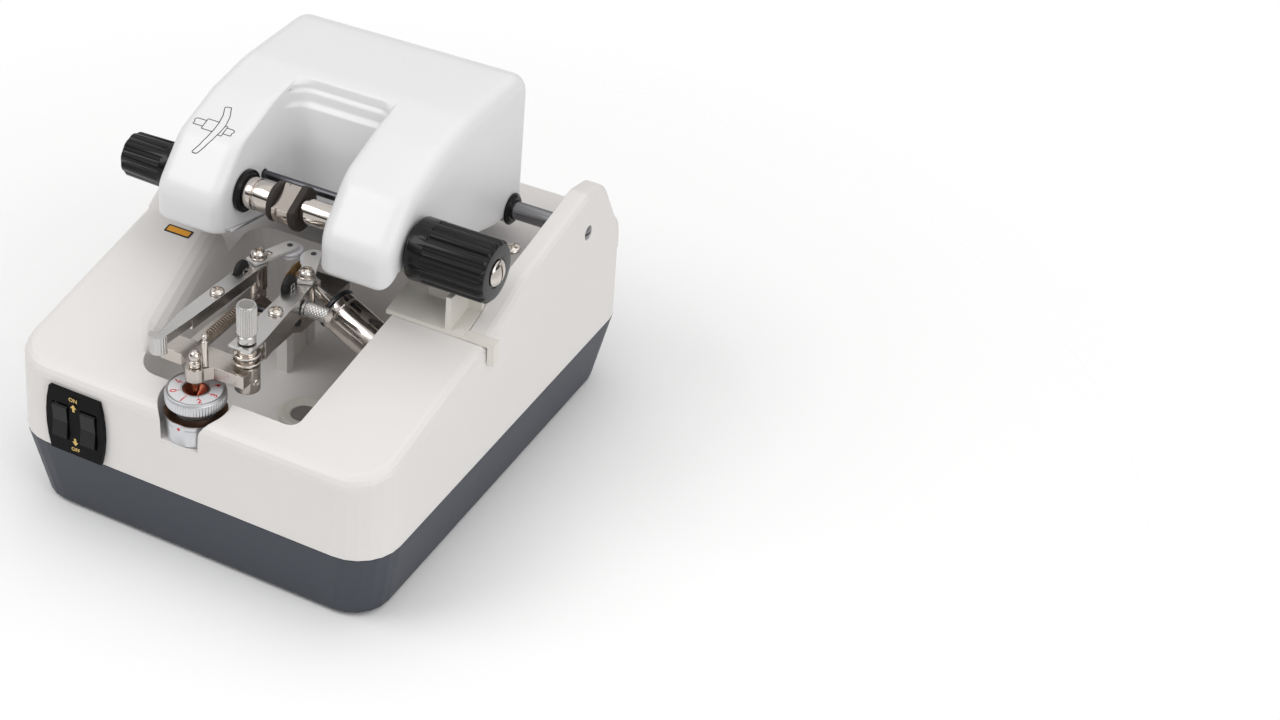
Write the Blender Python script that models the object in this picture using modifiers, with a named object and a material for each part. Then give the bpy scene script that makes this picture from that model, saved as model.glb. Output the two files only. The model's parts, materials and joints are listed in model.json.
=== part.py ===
"""Lens groover, a bench machine that cuts the cord groove into the edge of a spectacle lens.

Metres, +Z up, +X to the machine's right, +Y to its rear. The origin is on the table, under the
middle of the base. The head lies in its working place, with the empty chuck over the wheel.
"""
from math import atan2, ceil, cos, hypot, pi, radians, sin, sqrt, tau

import bmesh
import bpy
from mathutils import Matrix, Vector

# Clearances and overruns that every piece shares
GAP = 0.0003
OVERRUN = 0.006
MERGE = 0.000005
LEAST_R = 0.0008

# Circles: how many sides a round piece gets, by its size
FINE = 36
MEDIUM = 24
SMALL = 14
TINY = 12
ARC_STEPS = 5

# Base pan and rubber feet
CASE_W = 0.2200
CASE_D = 0.2786
CORNER_R = 0.0240
FOOT_H = 0.0030
FOOT_R = 0.0090
FOOT_INSET = 0.0310
FOOT_TAPER = 0.0010
SEAM_Z = 0.0437
PAN_TAPER = 0.0080
WALL = 0.0030

# Casing: the deck rises from the front edge at a steady slope
DECK_Z = 0.0950
DECK_Y = -0.1150
DECK_SLOPE = 0.19
TOP_EDGE_R = 0.0060
CASE_LEAN = 0.0022
EAR_T = 0.0140
EAR_RIGHT_Y = -0.0330
EAR_LEFT_Y = -0.0150
EAR_HOLLOW_Y = -0.0040
EAR_HOLLOW_Z = 0.1210
EAR_RISE_Y = 0.0120
EAR_RISE_Z = 0.1275
EAR_SHOULDER_Y = 0.0330
EAR_SHOULDER_Z = 0.1310
EAR_TOP_Y = 0.0820
EAR_TOP_Z = 0.1405
EAR_BACK_Y = 0.1030
EAR_BACK_Z = 0.1366
EAR_END_Y = 0.1245
EAR_END_Z = 0.0990
EAR_ROUND = 0.0100
EAR_FOOT_Z = 0.0850
EAR_EDGE_R = 0.0045
WELL_Y = -0.0100
WELL_Z = 0.0980

# Coolant tray in the deck, by its outline at the rim's height and how far its walls lean
TRAY_FLOOR_Z = 0.0530
TRAY_RIM_Z = 0.1000
TRAY_TOP_Z = 0.1300
TRAY_FRONT_Y = -0.1190
TRAY_REAR_Y = 0.0240
TRAY_LEFT_FRONT_X = -0.0430
TRAY_LEFT_REAR_X = -0.0640
TRAY_RIGHT_FRONT_X = 0.0520
TRAY_RIGHT_REAR_X = 0.0550
TRAY_LEFT_LEAN = 0.0120
TRAY_RIGHT_LEAN = 0.0020
TRAY_END_LEAN = 0.0050
TRAY_CORNER_R = 0.0120
TRAY_FLARE_R = 0.0160
TRAY_FLARE_FRONT_R = 0.0030

# Pedestal on the tray's floor
PILLAR = 0.0065
PILLAR_FRONT_X = -0.0100
PILLAR_FRONT_Y = -0.0300
PILLAR_REAR_X = -0.0140
PILLAR_REAR_Y = -0.0020
PILLAR_WEB = 0.0025
PILLAR_TOP_Z = 0.0917

# Drain cup in the tray's floor
DRAIN_X = 0.0230
DRAIN_Y = -0.0640
DRAIN_R = 0.0170
DRAIN_HOLE_R = 0.0096
DRAIN_RISE = 0.0042
DRAIN_LIP_R = 0.0125
DRAIN_DEPTH = 0.0140
DRAIN_SPOUT_R = 0.0030

# Depth dial, its bay in the front rim and its block
DIAL_X = -0.0030
DIAL_Y = -0.1230
DIAL_R = 0.0156
DIAL_TOP_Z = 0.1000
DIAL_RIM_H = 0.0073
DIAL_NECK_R = 0.0100
DIAL_HOLE_R = 0.0065
DIAL_RIBS = 40
DIAL_RIB_DEPTH = 0.0005
DIAL_FACE_DROP = 0.0006
BLOCK_TOP_Z = 0.0872
BLOCK_R = 0.0160
BLOCK_FLAT_Y = -0.1385
BLOCK_COLUMN_R = 0.0120
BAY_R = 0.0190
BAY_SILL_Z = 0.0745
STEM_R = 0.0030
STEM_LENGTH = 0.0240
FUNNEL_FLOOR_Z = 0.0947
FUNNEL_FLOOR_R = 0.0012

# Twin rocker switch on the front wall
PLATE_INSET = 0.0270
PLATE_LEFT_X = PLATE_INSET - CASE_W / 2
PLATE_W = 0.0360
PLATE_BOTTOM_Z = 0.0450
PLATE_H = 0.0380
PLATE_T = 0.0022
PLATE_BULGE = 0.0025
ROCKER_W = 0.0095
ROCKER_H = 0.0205
ROCKER_T = 0.0060
ROCKER_RISE = 0.0022
ROCKER_SPACING = 0.0172
ROCKER_PIVOT_DEPTH = 0.0020
ROCKER_TILT = radians(7)
SWITCH_DEPTH = 0.0120

# Mains inlet in the rear wall
INLET_INSET = 0.0500
INLET_X = CASE_W / 2 - INLET_INSET
INLET_Z = 0.0690
INLET_W = 0.0300
INLET_H = 0.0240
INLET_FLANGE = 0.0025
INLET_FLANGE_T = 0.0020
INLET_BODY_W = 0.0250
INLET_BODY_H = 0.0180
INLET_DEPTH = 0.0200
INLET_MOUTH_W = 0.0200
INLET_MOUTH_H = 0.0135
INLET_MOUTH_DEPTH = 0.0150
INLET_BLADE_W = 0.0020
INLET_BLADE_H = 0.0040
INLET_BLADE_LENGTH = 0.0120
INLET_BLADE_SPREAD = 0.0070

# Splash shield over the right deck
SHIELD_T = 0.0025
SHIELD_INSET = 0.0588
SHIELD_LEFT_X = CASE_W / 2 - SHIELD_INSET
SHIELD_FRONT_Y = -0.0315
SHIELD_REAR_Y = -0.0105
SHIELD_HOOK_DROP = 0.0100
SHIELD_HOOK_W = 0.0060
SHIELD_BACK_INSET = 0.0450
SHIELD_BACK_X = CASE_W / 2 - SHIELD_BACK_INSET
SHIELD_BACK_Z = 0.1300
SHIELD_FIN_INSET = 0.0250
SHIELD_FIN_X = CASE_W / 2 - SHIELD_FIN_INSET
SHIELD_FIN_T = 0.0030
SHIELD_FIN_TOP_Z = 0.1330
SHIELD_WEB_H = 0.0080

# Hinge of the head
HINGE_Y = 0.0815
HINGE_Z = 0.1180
HINGE_R = 0.0050
HINGE_SEAT = 0.0080
HINGE_BUSH_R = 0.0080
HINGE_BUSH_L = 0.0045
EAR_SCREW_R = 0.0038
EAR_SCREW_SHANK_R = 0.0020
EAR_SCREW_SHANK_L = 0.0095
EAR_SCREW_SINK = 0.0012
EAR_SCREW_DOME = 0.0016
EAR_SCREW_SLOT = 0.0010

# Head cover: its side outline, its two arms and the recess between them
HEAD_LEFT_X = -0.0780
HEAD_RIGHT_X = 0.0623
HEAD_FRONT_Y = -0.0500
HEAD_REAR_Y = 0.0975
HEAD_TOP_Z = 0.1946
HEAD_TOP_Y = 0.0340
HEAD_BROW_Y = 0.0040
HEAD_BROW_DROP = 0.0041
HEAD_BROW_Z = HEAD_TOP_Z - HEAD_BROW_DROP
HEAD_CHEEK_Y = -0.0280
HEAD_CHEEK_DROP = 0.0166
HEAD_CHEEK_Z = HEAD_TOP_Z - HEAD_CHEEK_DROP
HEAD_NOSE_Z = 0.1550
HEAD_CHIN_Z = 0.1355
HEAD_CHIN_Y = -0.0310
HEAD_SOLE_Z = 0.1080
HEAD_SOLE_Y = 0.0630
HEAD_ROUND = 0.0110
HEAD_EDGE_R = 0.0070
HEAD_WALL = 0.0028
RECESS_LEFT_X = -0.0385
RECESS_RIGHT_X = 0.0170
RECESS_TOP_Y = 0.0250
RECESS_FOOT_Y = 0.0100
RECESS_FOOT_Z = 0.1240
RECESS_EDGE_R = 0.0030

# Frame inside the head
FRAME_T = 0.0060
FRAME_LEFT_X = -0.0580
FRAME_RIGHT_X = 0.0360
FRAME_TUBE_R = 0.0080
FRAME_BAR = 0.0100
FRAME_BAR_Y = 0.0600
FRAME_BAR_Z = 0.1300
FRAME_EDGE = 0.0100

# Chuck: both shafts on one axis along X
CHUCK_Y = -0.0240
CHUCK_Z = 0.1511
SHAFT_R = 0.0060
SLEEVE_COLLAR_R = 0.0087
SLEEVE_R = 0.0082
SLEEVE_GROOVE_R = 0.0074
SLEEVE_GROOVE_X = -0.0290
SLEEVE_GROOVE_W = 0.0010
SLEEVE_END_X = -0.0193
SPIGOT_R = 0.0035
SPIGOT_END_X = -0.0075
CHUCK_BUSH_R = 0.0115
CHUCK_BUSH_L = 0.0028
CUSHION_R = 0.0107
CUSHION_X = -0.0190
CUSHION_T = 0.0030
CLAMP_HEAD_R = 0.0105
CLAMP_HEAD_X = -0.0157
CLAMP_HEAD_T = 0.0097
CLAMP_FLAT_SHARE = 0.62
PAD_R = 0.0119
PAD_X = -0.0054
PAD_T = 0.0036
CLAMP_TRAVEL = 0.0080
CLAMP_SLEEVE_X = 0.0440
CLAMP_SLEEVE_L = 0.0040
CLAMP_SLEEVE_R = 0.0090
CLAMP_SHAFT_END_X = 0.0590

# Knobs at the ends of the chuck
LEFT_KNOB_R = 0.0125
LEFT_KNOB_L = 0.0300
LEFT_KNOB_FLUTES = 10
LEFT_KNOB_FLUTE = 0.0014
RIGHT_KNOB_R = 0.0165
RIGHT_KNOB_L = 0.0455
RIGHT_KNOB_RIBS = 16
RIGHT_KNOB_FLUTE = 0.0013
RIGHT_KNOB_COLLAR_R = 0.0135
RIGHT_KNOB_COLLAR_L = 0.0020
KNOB_BEVEL = 0.0022
KNOB_PLAIN_SHARE = 0.20
KNOB_SCREW_R = 0.0070
KNOB_SCREW_DOME = 0.0028
KNOB_SCREW_SLOT = 0.0014
KNOB_SCREW_SHANK_R = 0.0025
KNOB_SCREW_SHANK_L = 0.0080

# Drive in the head: a can motor, its pinion, and the shaft that keeps both chucks in step
SYNC_Y = -0.0050
SYNC_Z = 0.1511
SYNC_R = 0.0023
TOOTH_MODULE = 0.0010
CHUCK_TEETH = 24
SYNC_TEETH = 14
PINION_TEETH = 12
TOOTH_ADDENDUM_SHARE = 0.75
TOOTH_DEDENDUM_SHARE = 1.05
TOOTH_ROOT_SHARE = 0.42
TOOTH_TIP_SHARE = 0.20
GEAR_T = 0.0050
GEAR_X = -0.0510
LONG_PINION_T = 0.0170
RIGHT_GEAR_X = 0.0240
CAN_R = 0.0190
CAN_L = 0.0160
CAN_OFFSET = 0.0120
PINION_SHAFT_R = 0.0020

# Grooving wheel and its motor, on one axis that tilts down to the right
WHEEL_X = -0.0058
WHEEL_Y = -0.0250
WHEEL_Z = 0.1118
WHEEL_R = 0.0105
WHEEL_T = 0.0008
AXIS_X_SHARE = 0.934
AXIS_Y_SHARE = -0.184
AXIS_Z_SHARE = -0.304
HUB_R = 0.0052
HUB_L = 0.0130
SPINDLE_R = 0.0028
MOTOR_RING_AT = 0.0280
MOTOR_RING_T = 0.0022
MOTOR_RING_R = 0.0116
MOTOR_R = 0.0110
MOTOR_L = 0.0600
MOTOR_CAP_L = 0.0040
CRADLE_T = 0.0080
CRADLE_AT = 0.0800
CRADLE_W = 0.0300

# Mechanism on the pedestal: a bracket, and the lever that rides on a cross shaft in it
BRACKET_LEFT_X = -0.0144
BRACKET_RIGHT_X = 0.0094
BRACKET_REAR_Y = 0.0030
BRACKET_FRONT_Y = -0.0450
BRACKET_T = 0.0040
CHEEK_T = 0.0040
CHEEK_FRONT_Y = -0.0640
CHEEK_REAR_Y = -0.0510
CHEEK_ROUND = 0.0050
LEVER_AXIS_Y = -0.0570
LEVER_AXIS_Z = 0.1070
LEVER_SHAFT_R = 0.0020
BAR_T = 0.0046
BAR_H = 0.0080
BAR_Z = 0.1030
BAR_REAR_Y = -0.0400
BAR_FRONT_Y = -0.1100
CROSSBAR_Z = 0.1060
CROSSBAR_T = 0.0070
CROSSBAR_LEFT_X = -0.0270
CROSSBAR_RIGHT_X = 0.0225
CROSSBAR_FRONT_Y = -0.1180
CROSSBAR_REAR_Y = -0.1050
NOSE_R = 0.0052
NOSE_Y = -0.1230
POST_R = 0.0045
ANCHOR_W = 0.0070
ANCHOR_Z = 0.1035
ANCHOR_T = 0.0040

# Pin, nut, spring post and spring at the lever's front
PIN_R = 0.0025
PIN_TIP_R = 0.0004
PIN_TIP_Z = 0.0950
NUT_R = 0.0031
NUT_BALL_Z = 0.1190
NUT_BASE_H = 0.0025
BALL_SHARE = 0.78
BALL_NECK_SHARE = 0.75
SPRING_X = 0.0013
SPRING_Z = 0.1290
SPRING_POST_R = 0.0015
SPRING_POST_TOP_Z = 0.1318
SPRING_R = 0.0024
SPRING_WIRE = 0.0008
SPRING_FRONT_Y = -0.1176
SPRING_REAR_Y = -0.0885
SPRING_TURNS = 23
SPRING_POINTS = 8
SPRING_LEAD = 0.0010

# Guide arms, their tip plates and the two nylon rollers that centre the lens
ARM_Z = 0.1246
ARM_T = 0.0016
ARM_FLANGE = 0.0070
LEFT_PIVOT_X = -0.0170
LEFT_PIVOT_Y = -0.0440
RIGHT_PIVOT_X = 0.0129
RIGHT_PIVOT_Y = -0.0460
ARM_EAR_R = 0.0050
ARM_REAR_W = 0.0078
LEFT_ARM_FRONT_X = -0.0210
LEFT_ARM_FRONT_Y = -0.1290
LEFT_ARM_FRONT_W = 0.0040
LEFT_ARM_BEND_Y = -0.1050
LEFT_ARM_BEND_W = 0.0085
GRIP_R = 0.0050
GRIP_H = 0.0100
GRIP_RIBS = 24
GRIP_RIB_DEPTH = 0.0004
GRIP_DROP_SHARE = 0.8
TIP_T = 0.0014
TIP_R = 0.0042
LEFT_TIP_X = -0.0098
LEFT_TIP_Y = -0.0255
RIGHT_TIP_X = 0.0048
RIGHT_TIP_Y = -0.0260
ROLLER_R = 0.0070
ROLLER_T = 0.0038
ROLLER_PIN_R = 0.0012
PIVOT_PIN_R = 0.0018
PIVOT_HEAD_R = 0.0042
PIVOT_HEAD_H = 0.0036
PIVOT_WASHER_R = 0.0047
PIVOT_SLOT = 0.0009
DISC_R = 0.0060
DISC_T = 0.0024
DISC_AXLE_R = 0.0009
DISC_LUG = 0.0012
LEFT_DISC_X = -0.0200
LEFT_DISC_Y = -0.0560
LEFT_DISC_Z = 0.1255
LEFT_DISC = (LEFT_DISC_X, LEFT_DISC_Y, LEFT_DISC_Z)
RIGHT_DISC_X = 0.0095
RIGHT_DISC_Y = -0.0575
RIGHT_DISC_Z = 0.1275
RIGHT_DISC = (RIGHT_DISC_X, RIGHT_DISC_Y, RIGHT_DISC_Z)
ARM_OPENING = radians(7)

# Lock knob of the right arm, standing on the lever's corner
LOCK_X = 0.0175
LOCK_Y = -0.1080
LOCK_BOSS_R = 0.0065
LOCK_BOSS_Z = 0.0990
LOCK_RING_R = 0.0072
LOCK_RING_T = 0.0040
LOCK_WASHER_R = 0.0070
LOCK_KNOB_R = 0.0052
LOCK_KNOB_H = 0.0215
LOCK_NECK_R = 0.0040
LOCK_NECK_H = 0.0046
LOCK_KNOB_FLUTES = 20
LOCK_KNOB_FLUTE = 0.0004
LOCK_STUD_R = 0.0022
LOCK_STUD_L = 0.0180
LOCK_PAD = 0.0065

# Thumb screw through the right arm's flange
THUMB_Y = -0.0580
THUMB_Z = 0.1180
THUMB_R = 0.0040
THUMB_L = 0.0140
THUMB_FLANGE_R = 0.0046
THUMB_FLANGE_T = 0.0012
THUMB_SHANK_R = 0.0015
THUMB_SHANK_L = 0.0060
THUMB_RIBS = 24

PARTS = "lens groover"
CUTTERS = "cutters"


# Helpers: collections, materials and objects

def collection(name):
    """Return the collection of this name, made and linked when it is first asked for."""
    found = bpy.data.collections.get(name)
    if found is None:
        found = bpy.data.collections.new(name)
        bpy.context.scene.collection.children.link(found)
    return found


def material(name, colour, roughness, metallic=0.0):
    """Return a Principled material, made once."""
    found = bpy.data.materials.get(name)
    if found is None:
        found = bpy.data.materials.new(name)
        found.use_nodes = True
        shader = found.node_tree.nodes["Principled BSDF"]
        shader.inputs["Base Color"].default_value = (*colour, 1.0)
        shader.inputs["Roughness"].default_value = roughness
        shader.inputs["Metallic"].default_value = metallic
        found.diffuse_color = (*colour, 1.0)
    return found


IVORY = ("ivory plastic", (0.76, 0.74, 0.71), 0.42)
WHITE = ("white plastic", (0.84, 0.84, 0.85), 0.35)
CREAM = ("cream plastic", (0.78, 0.74, 0.66), 0.45)
SLATE = ("slate plastic", (0.045, 0.055, 0.072), 0.45)
BLACK = ("black plastic", (0.012, 0.012, 0.013), 0.25)
RUBBER = ("black rubber", (0.015, 0.014, 0.014), 0.70)
NYLON = ("white nylon", (0.70, 0.68, 0.70), 0.40)
CHROME = ("chrome", (0.75, 0.72, 0.69), 0.10, 1.0)
NICKEL = ("nickel casting", (0.45, 0.42, 0.39), 0.28, 1.0)
STEEL = ("bright steel", (0.60, 0.60, 0.61), 0.25, 1.0)
DARK_STEEL = ("dark steel", (0.10, 0.10, 0.11), 0.30, 1.0)
ALUMINIUM = ("aluminium", (0.62, 0.63, 0.65), 0.35, 1.0)
BRONZE = ("spring bronze", (0.22, 0.14, 0.09), 0.35, 1.0)
WHEEL_METAL = ("sintered bronze", (0.32, 0.20, 0.09), 0.45, 1.0)
COPPER = ("copper", (0.55, 0.16, 0.08), 0.35, 1.0)


def new_object(name, mesh):
    """Link a new object that holds this mesh."""
    obj = bpy.data.objects.new(name, mesh)
    collection(PARTS).objects.link(obj)
    return obj


def from_bmesh(name, bm):
    """Turn a bmesh into an object with its faces pointing out."""
    bmesh.ops.recalc_face_normals(bm, faces=bm.faces)
    mesh = bpy.data.meshes.new(name)
    bm.to_mesh(mesh)
    bm.free()
    return new_object(name, mesh)


def settle(obj):
    """Apply the object's modifiers and remove the cutters that they used."""
    depsgraph = bpy.context.evaluated_depsgraph_get()
    mesh = bpy.data.meshes.new_from_object(obj.evaluated_get(depsgraph))
    used = {modifier.object for modifier in obj.modifiers if modifier.type == "BOOLEAN"}
    old = obj.data
    obj.modifiers.clear()
    obj.data = mesh
    bpy.data.meshes.remove(old)
    for cutter in used:
        bpy.data.objects.remove(cutter)
    return obj


def combine(obj, other, operation):
    """Add a Boolean with the other object, which becomes a hidden cutter, and apply it."""
    other.hide_render = True
    other.display_type = "WIRE"
    collection(CUTTERS).objects.link(other)
    collection(PARTS).objects.unlink(other)
    boolean = obj.modifiers.new(operation.title(), "BOOLEAN")
    boolean.object = other
    boolean.operation = operation
    boolean.solver = "EXACT"
    return settle(obj)


def cut(obj, *others):
    """Subtract the others from the object."""
    for other in others:
        combine(obj, other, "DIFFERENCE")
    return obj


def join(obj, *others):
    """Unite the others with the object."""
    for other in others:
        combine(obj, other, "UNION")
    return obj


def soften(obj, width, segments=3, angle=radians(50)):
    """Round the object's sharp edges."""
    bevel = obj.modifiers.new("Soften", "BEVEL")
    bevel.width = width
    bevel.segments = segments
    bevel.limit_method = "ANGLE"
    bevel.angle_limit = angle
    return settle(obj)


def finish_piece(obj, finish, sharp=radians(32)):
    """Give the piece its material and shade its round faces smooth."""
    obj.data.materials.clear()
    obj.data.materials.append(material(*finish))
    obj.data.shade_smooth()
    obj.data.set_sharp_from_angle(angle=sharp)
    return obj


# Helpers: shapes

def block(name, low, high):
    """A box between two corners."""
    bm = bmesh.new()
    bmesh.ops.create_cube(bm, size=1.0)
    low, high = Vector(low), Vector(high)
    size = high - low
    bmesh.ops.scale(bm, vec=size, verts=bm.verts)
    obj = from_bmesh(name, bm)
    obj.location = (low + high) / 2
    return obj


def rod(name, start, end, radius, sides=MEDIUM, end_radius=None):
    """A round bar, or a cone, between two points."""
    start, end = Vector(start), Vector(end)
    axis = end - start
    bm = bmesh.new()
    bmesh.ops.create_cone(
        bm,
        cap_ends=True,
        segments=sides,
        radius1=radius,
        radius2=radius if end_radius is None else end_radius,
        depth=axis.length,
    )
    obj = from_bmesh(name, bm)
    obj.matrix_world = Matrix.Translation((start + end) / 2) @ aim(axis)
    return obj


def aim(axis):
    """The turn that takes +Z to this axis."""
    return Vector(axis).to_track_quat("Z", "Y").to_matrix().to_4x4()


def turned(name, profile, place, steps=MEDIUM, closed=False):
    """Revolve (radius, height) points, given down the outer side, and place the result."""
    mesh = bpy.data.meshes.new(name)
    points = [(radius, 0.0, height) for radius, height in profile]
    edges = [(i, i + 1) for i in range(len(points) - 1)]
    if closed:
        edges.append((len(points) - 1, 0))
    mesh.from_pydata(points, edges, [])
    obj = new_object(name, mesh)
    screw = obj.modifiers.new("Turn", "SCREW")
    screw.steps = steps
    screw.render_steps = steps
    screw.use_merge_vertices = True
    screw.merge_threshold = MERGE
    obj.matrix_world = place
    return settle(obj)


def ring(name, outer, inner, low, high, place, steps=MEDIUM):
    """A plain ring between two heights."""
    profile = [(outer, high), (outer, low), (inner, low), (inner, high)]
    return turned(name, profile, place, steps, closed=True)


def at(x, y, z):
    """A place with its axis along +Z."""
    return Matrix.Translation((x, y, z))


def along_x(x, y, z):
    """A place whose +Z runs along world +X."""
    return at(x, y, z) @ Matrix.Rotation(pi / 2, 4, "Y")


def along_y(x, y, z):
    """A place whose +Z runs along world +Y."""
    return at(x, y, z) @ Matrix.Rotation(-pi / 2, 4, "X")


def arc(centre, radius, start, end, steps=ARC_STEPS):
    """Points on an arc between two angles."""
    turns = [start + (end - start) * i / steps for i in range(steps + 1)]
    return [(centre[0] + radius * cos(t), centre[1] + radius * sin(t)) for t in turns]


def rounded(corners, steps=ARC_STEPS):
    """An outline from (x, y, radius) corners, each rounded by its own arc."""
    outline = []
    count = len(corners)
    for i, (x, y, radius) in enumerate(corners):
        here = Vector((x, y))
        before = Vector(corners[i - 1][:2]) - here
        after = Vector(corners[(i + 1) % count][:2]) - here
        if radius == 0:
            outline.append((x, y))
            continue
        before.normalize()
        after.normalize()
        half = before.angle(after) / 2
        reach = radius / sin(half)
        centre = here + (before + after).normalized() * reach
        first = -(after - before * before.dot(after)).normalized()
        last = -(before - after * before.dot(after)).normalized()
        start = atan2(first.y, first.x)
        end = atan2(last.y, last.x)
        while end - start > pi:
            end -= tau
        while end - start < -pi:
            end += tau
        outline += arc(centre, radius, start, end, steps)
    return outline


def plate(name, outline, thickness, place):
    """A flat piece from an outline, made as a filled curve and centred on its thickness."""
    curve = bpy.data.curves.new(name, "CURVE")
    curve.dimensions = "2D"
    curve.fill_mode = "BOTH"
    curve.extrude = thickness / 2
    spline = curve.splines.new("POLY")
    spline.points.add(len(outline) - 1)
    for point, (x, y) in zip(spline.points, outline):
        point.co = (x, y, 0.0, 1.0)
    spline.use_cyclic_u = True
    obj = new_object(name, curve)
    obj.matrix_world = place
    return as_mesh(obj)


def as_mesh(obj):
    """Replace a curve object by a welded mesh whose points are in world space."""
    bpy.context.view_layer.update()
    depsgraph = bpy.context.evaluated_depsgraph_get()
    mesh = bpy.data.meshes.new_from_object(obj.evaluated_get(depsgraph))
    bm = bmesh.new()
    bm.from_mesh(mesh)
    bmesh.ops.remove_doubles(bm, verts=bm.verts, dist=MERGE)
    bmesh.ops.dissolve_limit(bm, angle_limit=radians(0.5), verts=bm.verts, edges=bm.edges)
    bmesh.ops.transform(bm, matrix=obj.matrix_world, verts=bm.verts)
    name = obj.name
    bpy.data.objects.remove(obj)
    return from_bmesh(name, bm)


def inset(corners, distance):
    """The (x, y, radius) corners moved inwards, with their radii made smaller to match."""
    count = len(corners)
    area = sum(
        corners[i][0] * corners[(i + 1) % count][1] - corners[(i + 1) % count][0] * corners[i][1]
        for i in range(count)
    )
    side = 1 if area > 0 else -1
    moved = []
    for i, (x, y, radius) in enumerate(corners):
        here = Vector((x, y))
        back = (here - Vector(corners[i - 1][:2])).normalized()
        ahead = (Vector(corners[(i + 1) % count][:2]) - here).normalized()
        first, second = Vector((-back.y, back.x)) * side, Vector((-ahead.y, ahead.x)) * side
        middle = (first + second).normalized()
        here += middle * distance / middle.dot(first)
        moved.append((here.x, here.y, max(radius - distance, LEAST_R)))
    return moved


def pillow(name, corners, left_x, right_x, edge, steps=3, arc_steps=3):
    """A body with a (y, z) outline, standing between two places on X, its side edges rounded."""
    rings = []
    turns = [pi / 2 * i / steps for i in range(steps + 1)]
    sections = [(left_x + edge * (1 - cos(t)), edge * (1 - sin(t))) for t in turns]
    sections += [(right_x - edge * (1 - cos(t)), edge * (1 - sin(t))) for t in reversed(turns)]
    for x, distance in sections:
        rings.append([(x, y, z) for y, z in rounded(inset(corners, distance), arc_steps)])
    return loft(name, rings)


def side_plate(name, outline, left_x, right_x):
    """A plate from a (y, z) outline, standing between two places on X."""
    turn = Matrix(((0, 0, 1, 0), (1, 0, 0, 0), (0, 1, 0, 0), (0, 0, 0, 1)))
    place = at((left_x + right_x) / 2, 0.0, 0.0) @ turn
    return plate(name, outline, right_x - left_x, place)


def flat_plate(name, outline, low_z, high_z):
    """A plate from an (x, y) outline, lying between two heights."""
    return plate(name, outline, high_z - low_z, at(0.0, 0.0, (low_z + high_z) / 2))


def loft(name, rings):
    """A closed body through rings of as many points each."""
    bm = bmesh.new()
    rows = [[bm.verts.new(point) for point in points] for points in rings]
    for lower, upper in zip(rows, rows[1:]):
        count = len(lower)
        for i in range(count):
            after = (i + 1) % count
            bm.faces.new((lower[i], lower[after], upper[after], upper[i]))
    bm.faces.new(reversed(rows[0]))
    bm.faces.new(rows[-1])
    return from_bmesh(name, bm)


def rounded_slab(name, levels, steps=ARC_STEPS):
    """A drafted block with round corners, from (z, half width, half depth, radius) levels."""
    rings = []
    for z, half_x, half_y, radius in levels:
        corners = [
            (-half_x, -half_y, radius),
            (half_x, -half_y, radius),
            (half_x, half_y, radius),
            (-half_x, half_y, radius),
        ]
        rings.append([(x, y, z) for x, y in rounded(corners, steps)])
    return loft(name, rings)


def fluted(name, sections, count, place, steps=4):
    """A knob with flutes along its axis, through (height, radius, flute depth) sections."""
    rings = []
    for height, radius, depth in sections:
        points = []
        for i in range(count * steps):
            turn = tau * i / (count * steps)
            dip = depth * (0.5 - cos(turn * count) / 2) ** 2
            points.append(((radius - dip) * cos(turn), (radius - dip) * sin(turn), height))
        rings.append(points)
    obj = loft(name, rings)
    obj.matrix_world = place
    return obj


def gear_outline(teeth, phase):
    """The outline of a spur gear whose first tooth points at the phase angle."""
    pitch_r = TOOTH_MODULE * teeth / 2
    tip_r = pitch_r + TOOTH_MODULE * TOOTH_ADDENDUM_SHARE
    root_r = pitch_r - TOOTH_MODULE * TOOTH_DEDENDUM_SHARE
    step = tau / teeth
    outline = []
    for i in range(teeth):
        middle = phase + step * i
        for radius, share in (
            (root_r, -TOOTH_ROOT_SHARE),
            (tip_r, -TOOTH_TIP_SHARE),
            (tip_r, TOOTH_TIP_SHARE),
            (root_r, TOOTH_ROOT_SHARE),
        ):
            turn = middle + step * share / 2
            outline.append((radius * cos(turn), radius * sin(turn)))
    return outline


def gear(name, teeth, phase, left_x, right_x, y, z):
    """A spur gear on an axis along X."""
    outline = [(y + u, z + v) for u, v in gear_outline(teeth, phase)]
    return side_plate(name, outline, left_x, right_x)


def deck_height(y):
    """The deck's height at a place along the machine."""
    return DECK_Z + DECK_SLOPE * (y - DECK_Y)


# Housing: pan, feet, casing, shield, drain, inlet and switches

def base_pan():
    """The slate pan: a drafted tub, open at the top."""
    half_w, half_d = CASE_W / 2, CASE_D / 2
    pan = rounded_slab("base_pan", (
        (FOOT_H, half_w - PAN_TAPER, half_d - PAN_TAPER, CORNER_R - PAN_TAPER / 2),
        (SEAM_Z, half_w, half_d, CORNER_R),
    ))
    inner_w, inner_d = half_w - WALL, half_d - WALL
    hollow = rounded_slab("pan_hollow", (
        (FOOT_H + WALL, inner_w - PAN_TAPER, inner_d - PAN_TAPER, CORNER_R - PAN_TAPER / 2 - WALL),
        (SEAM_Z, inner_w, inner_d, CORNER_R - WALL),
        (SEAM_Z + OVERRUN, inner_w, inner_d, CORNER_R - WALL),
    ))
    return finish_piece(cut(pan, hollow), SLATE)


def feet():
    """Four rubber feet under the pan's corners."""
    names = {
        "foot_front_left": (-1, -1),
        "foot_front_right": (1, -1),
        "foot_rear_left": (-1, 1),
        "foot_rear_right": (1, 1),
    }
    reach_x, reach_y = CASE_W / 2 - FOOT_INSET, CASE_D / 2 - FOOT_INSET
    top = FOOT_H - GAP
    for name, (side_x, side_y) in names.items():
        profile = [(0.0, top), (FOOT_R, top), (FOOT_R - FOOT_TAPER, 0.0), (0.0, 0.0)]
        foot = turned(name, profile, at(side_x * reach_x, side_y * reach_y, 0.0), SMALL)
        finish_piece(foot, RUBBER)


def lean_at(z):
    """How far the casing's walls lean in at a height."""
    return CASE_LEAN * (z - SEAM_Z) / (EAR_TOP_Z - SEAM_Z)


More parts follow.
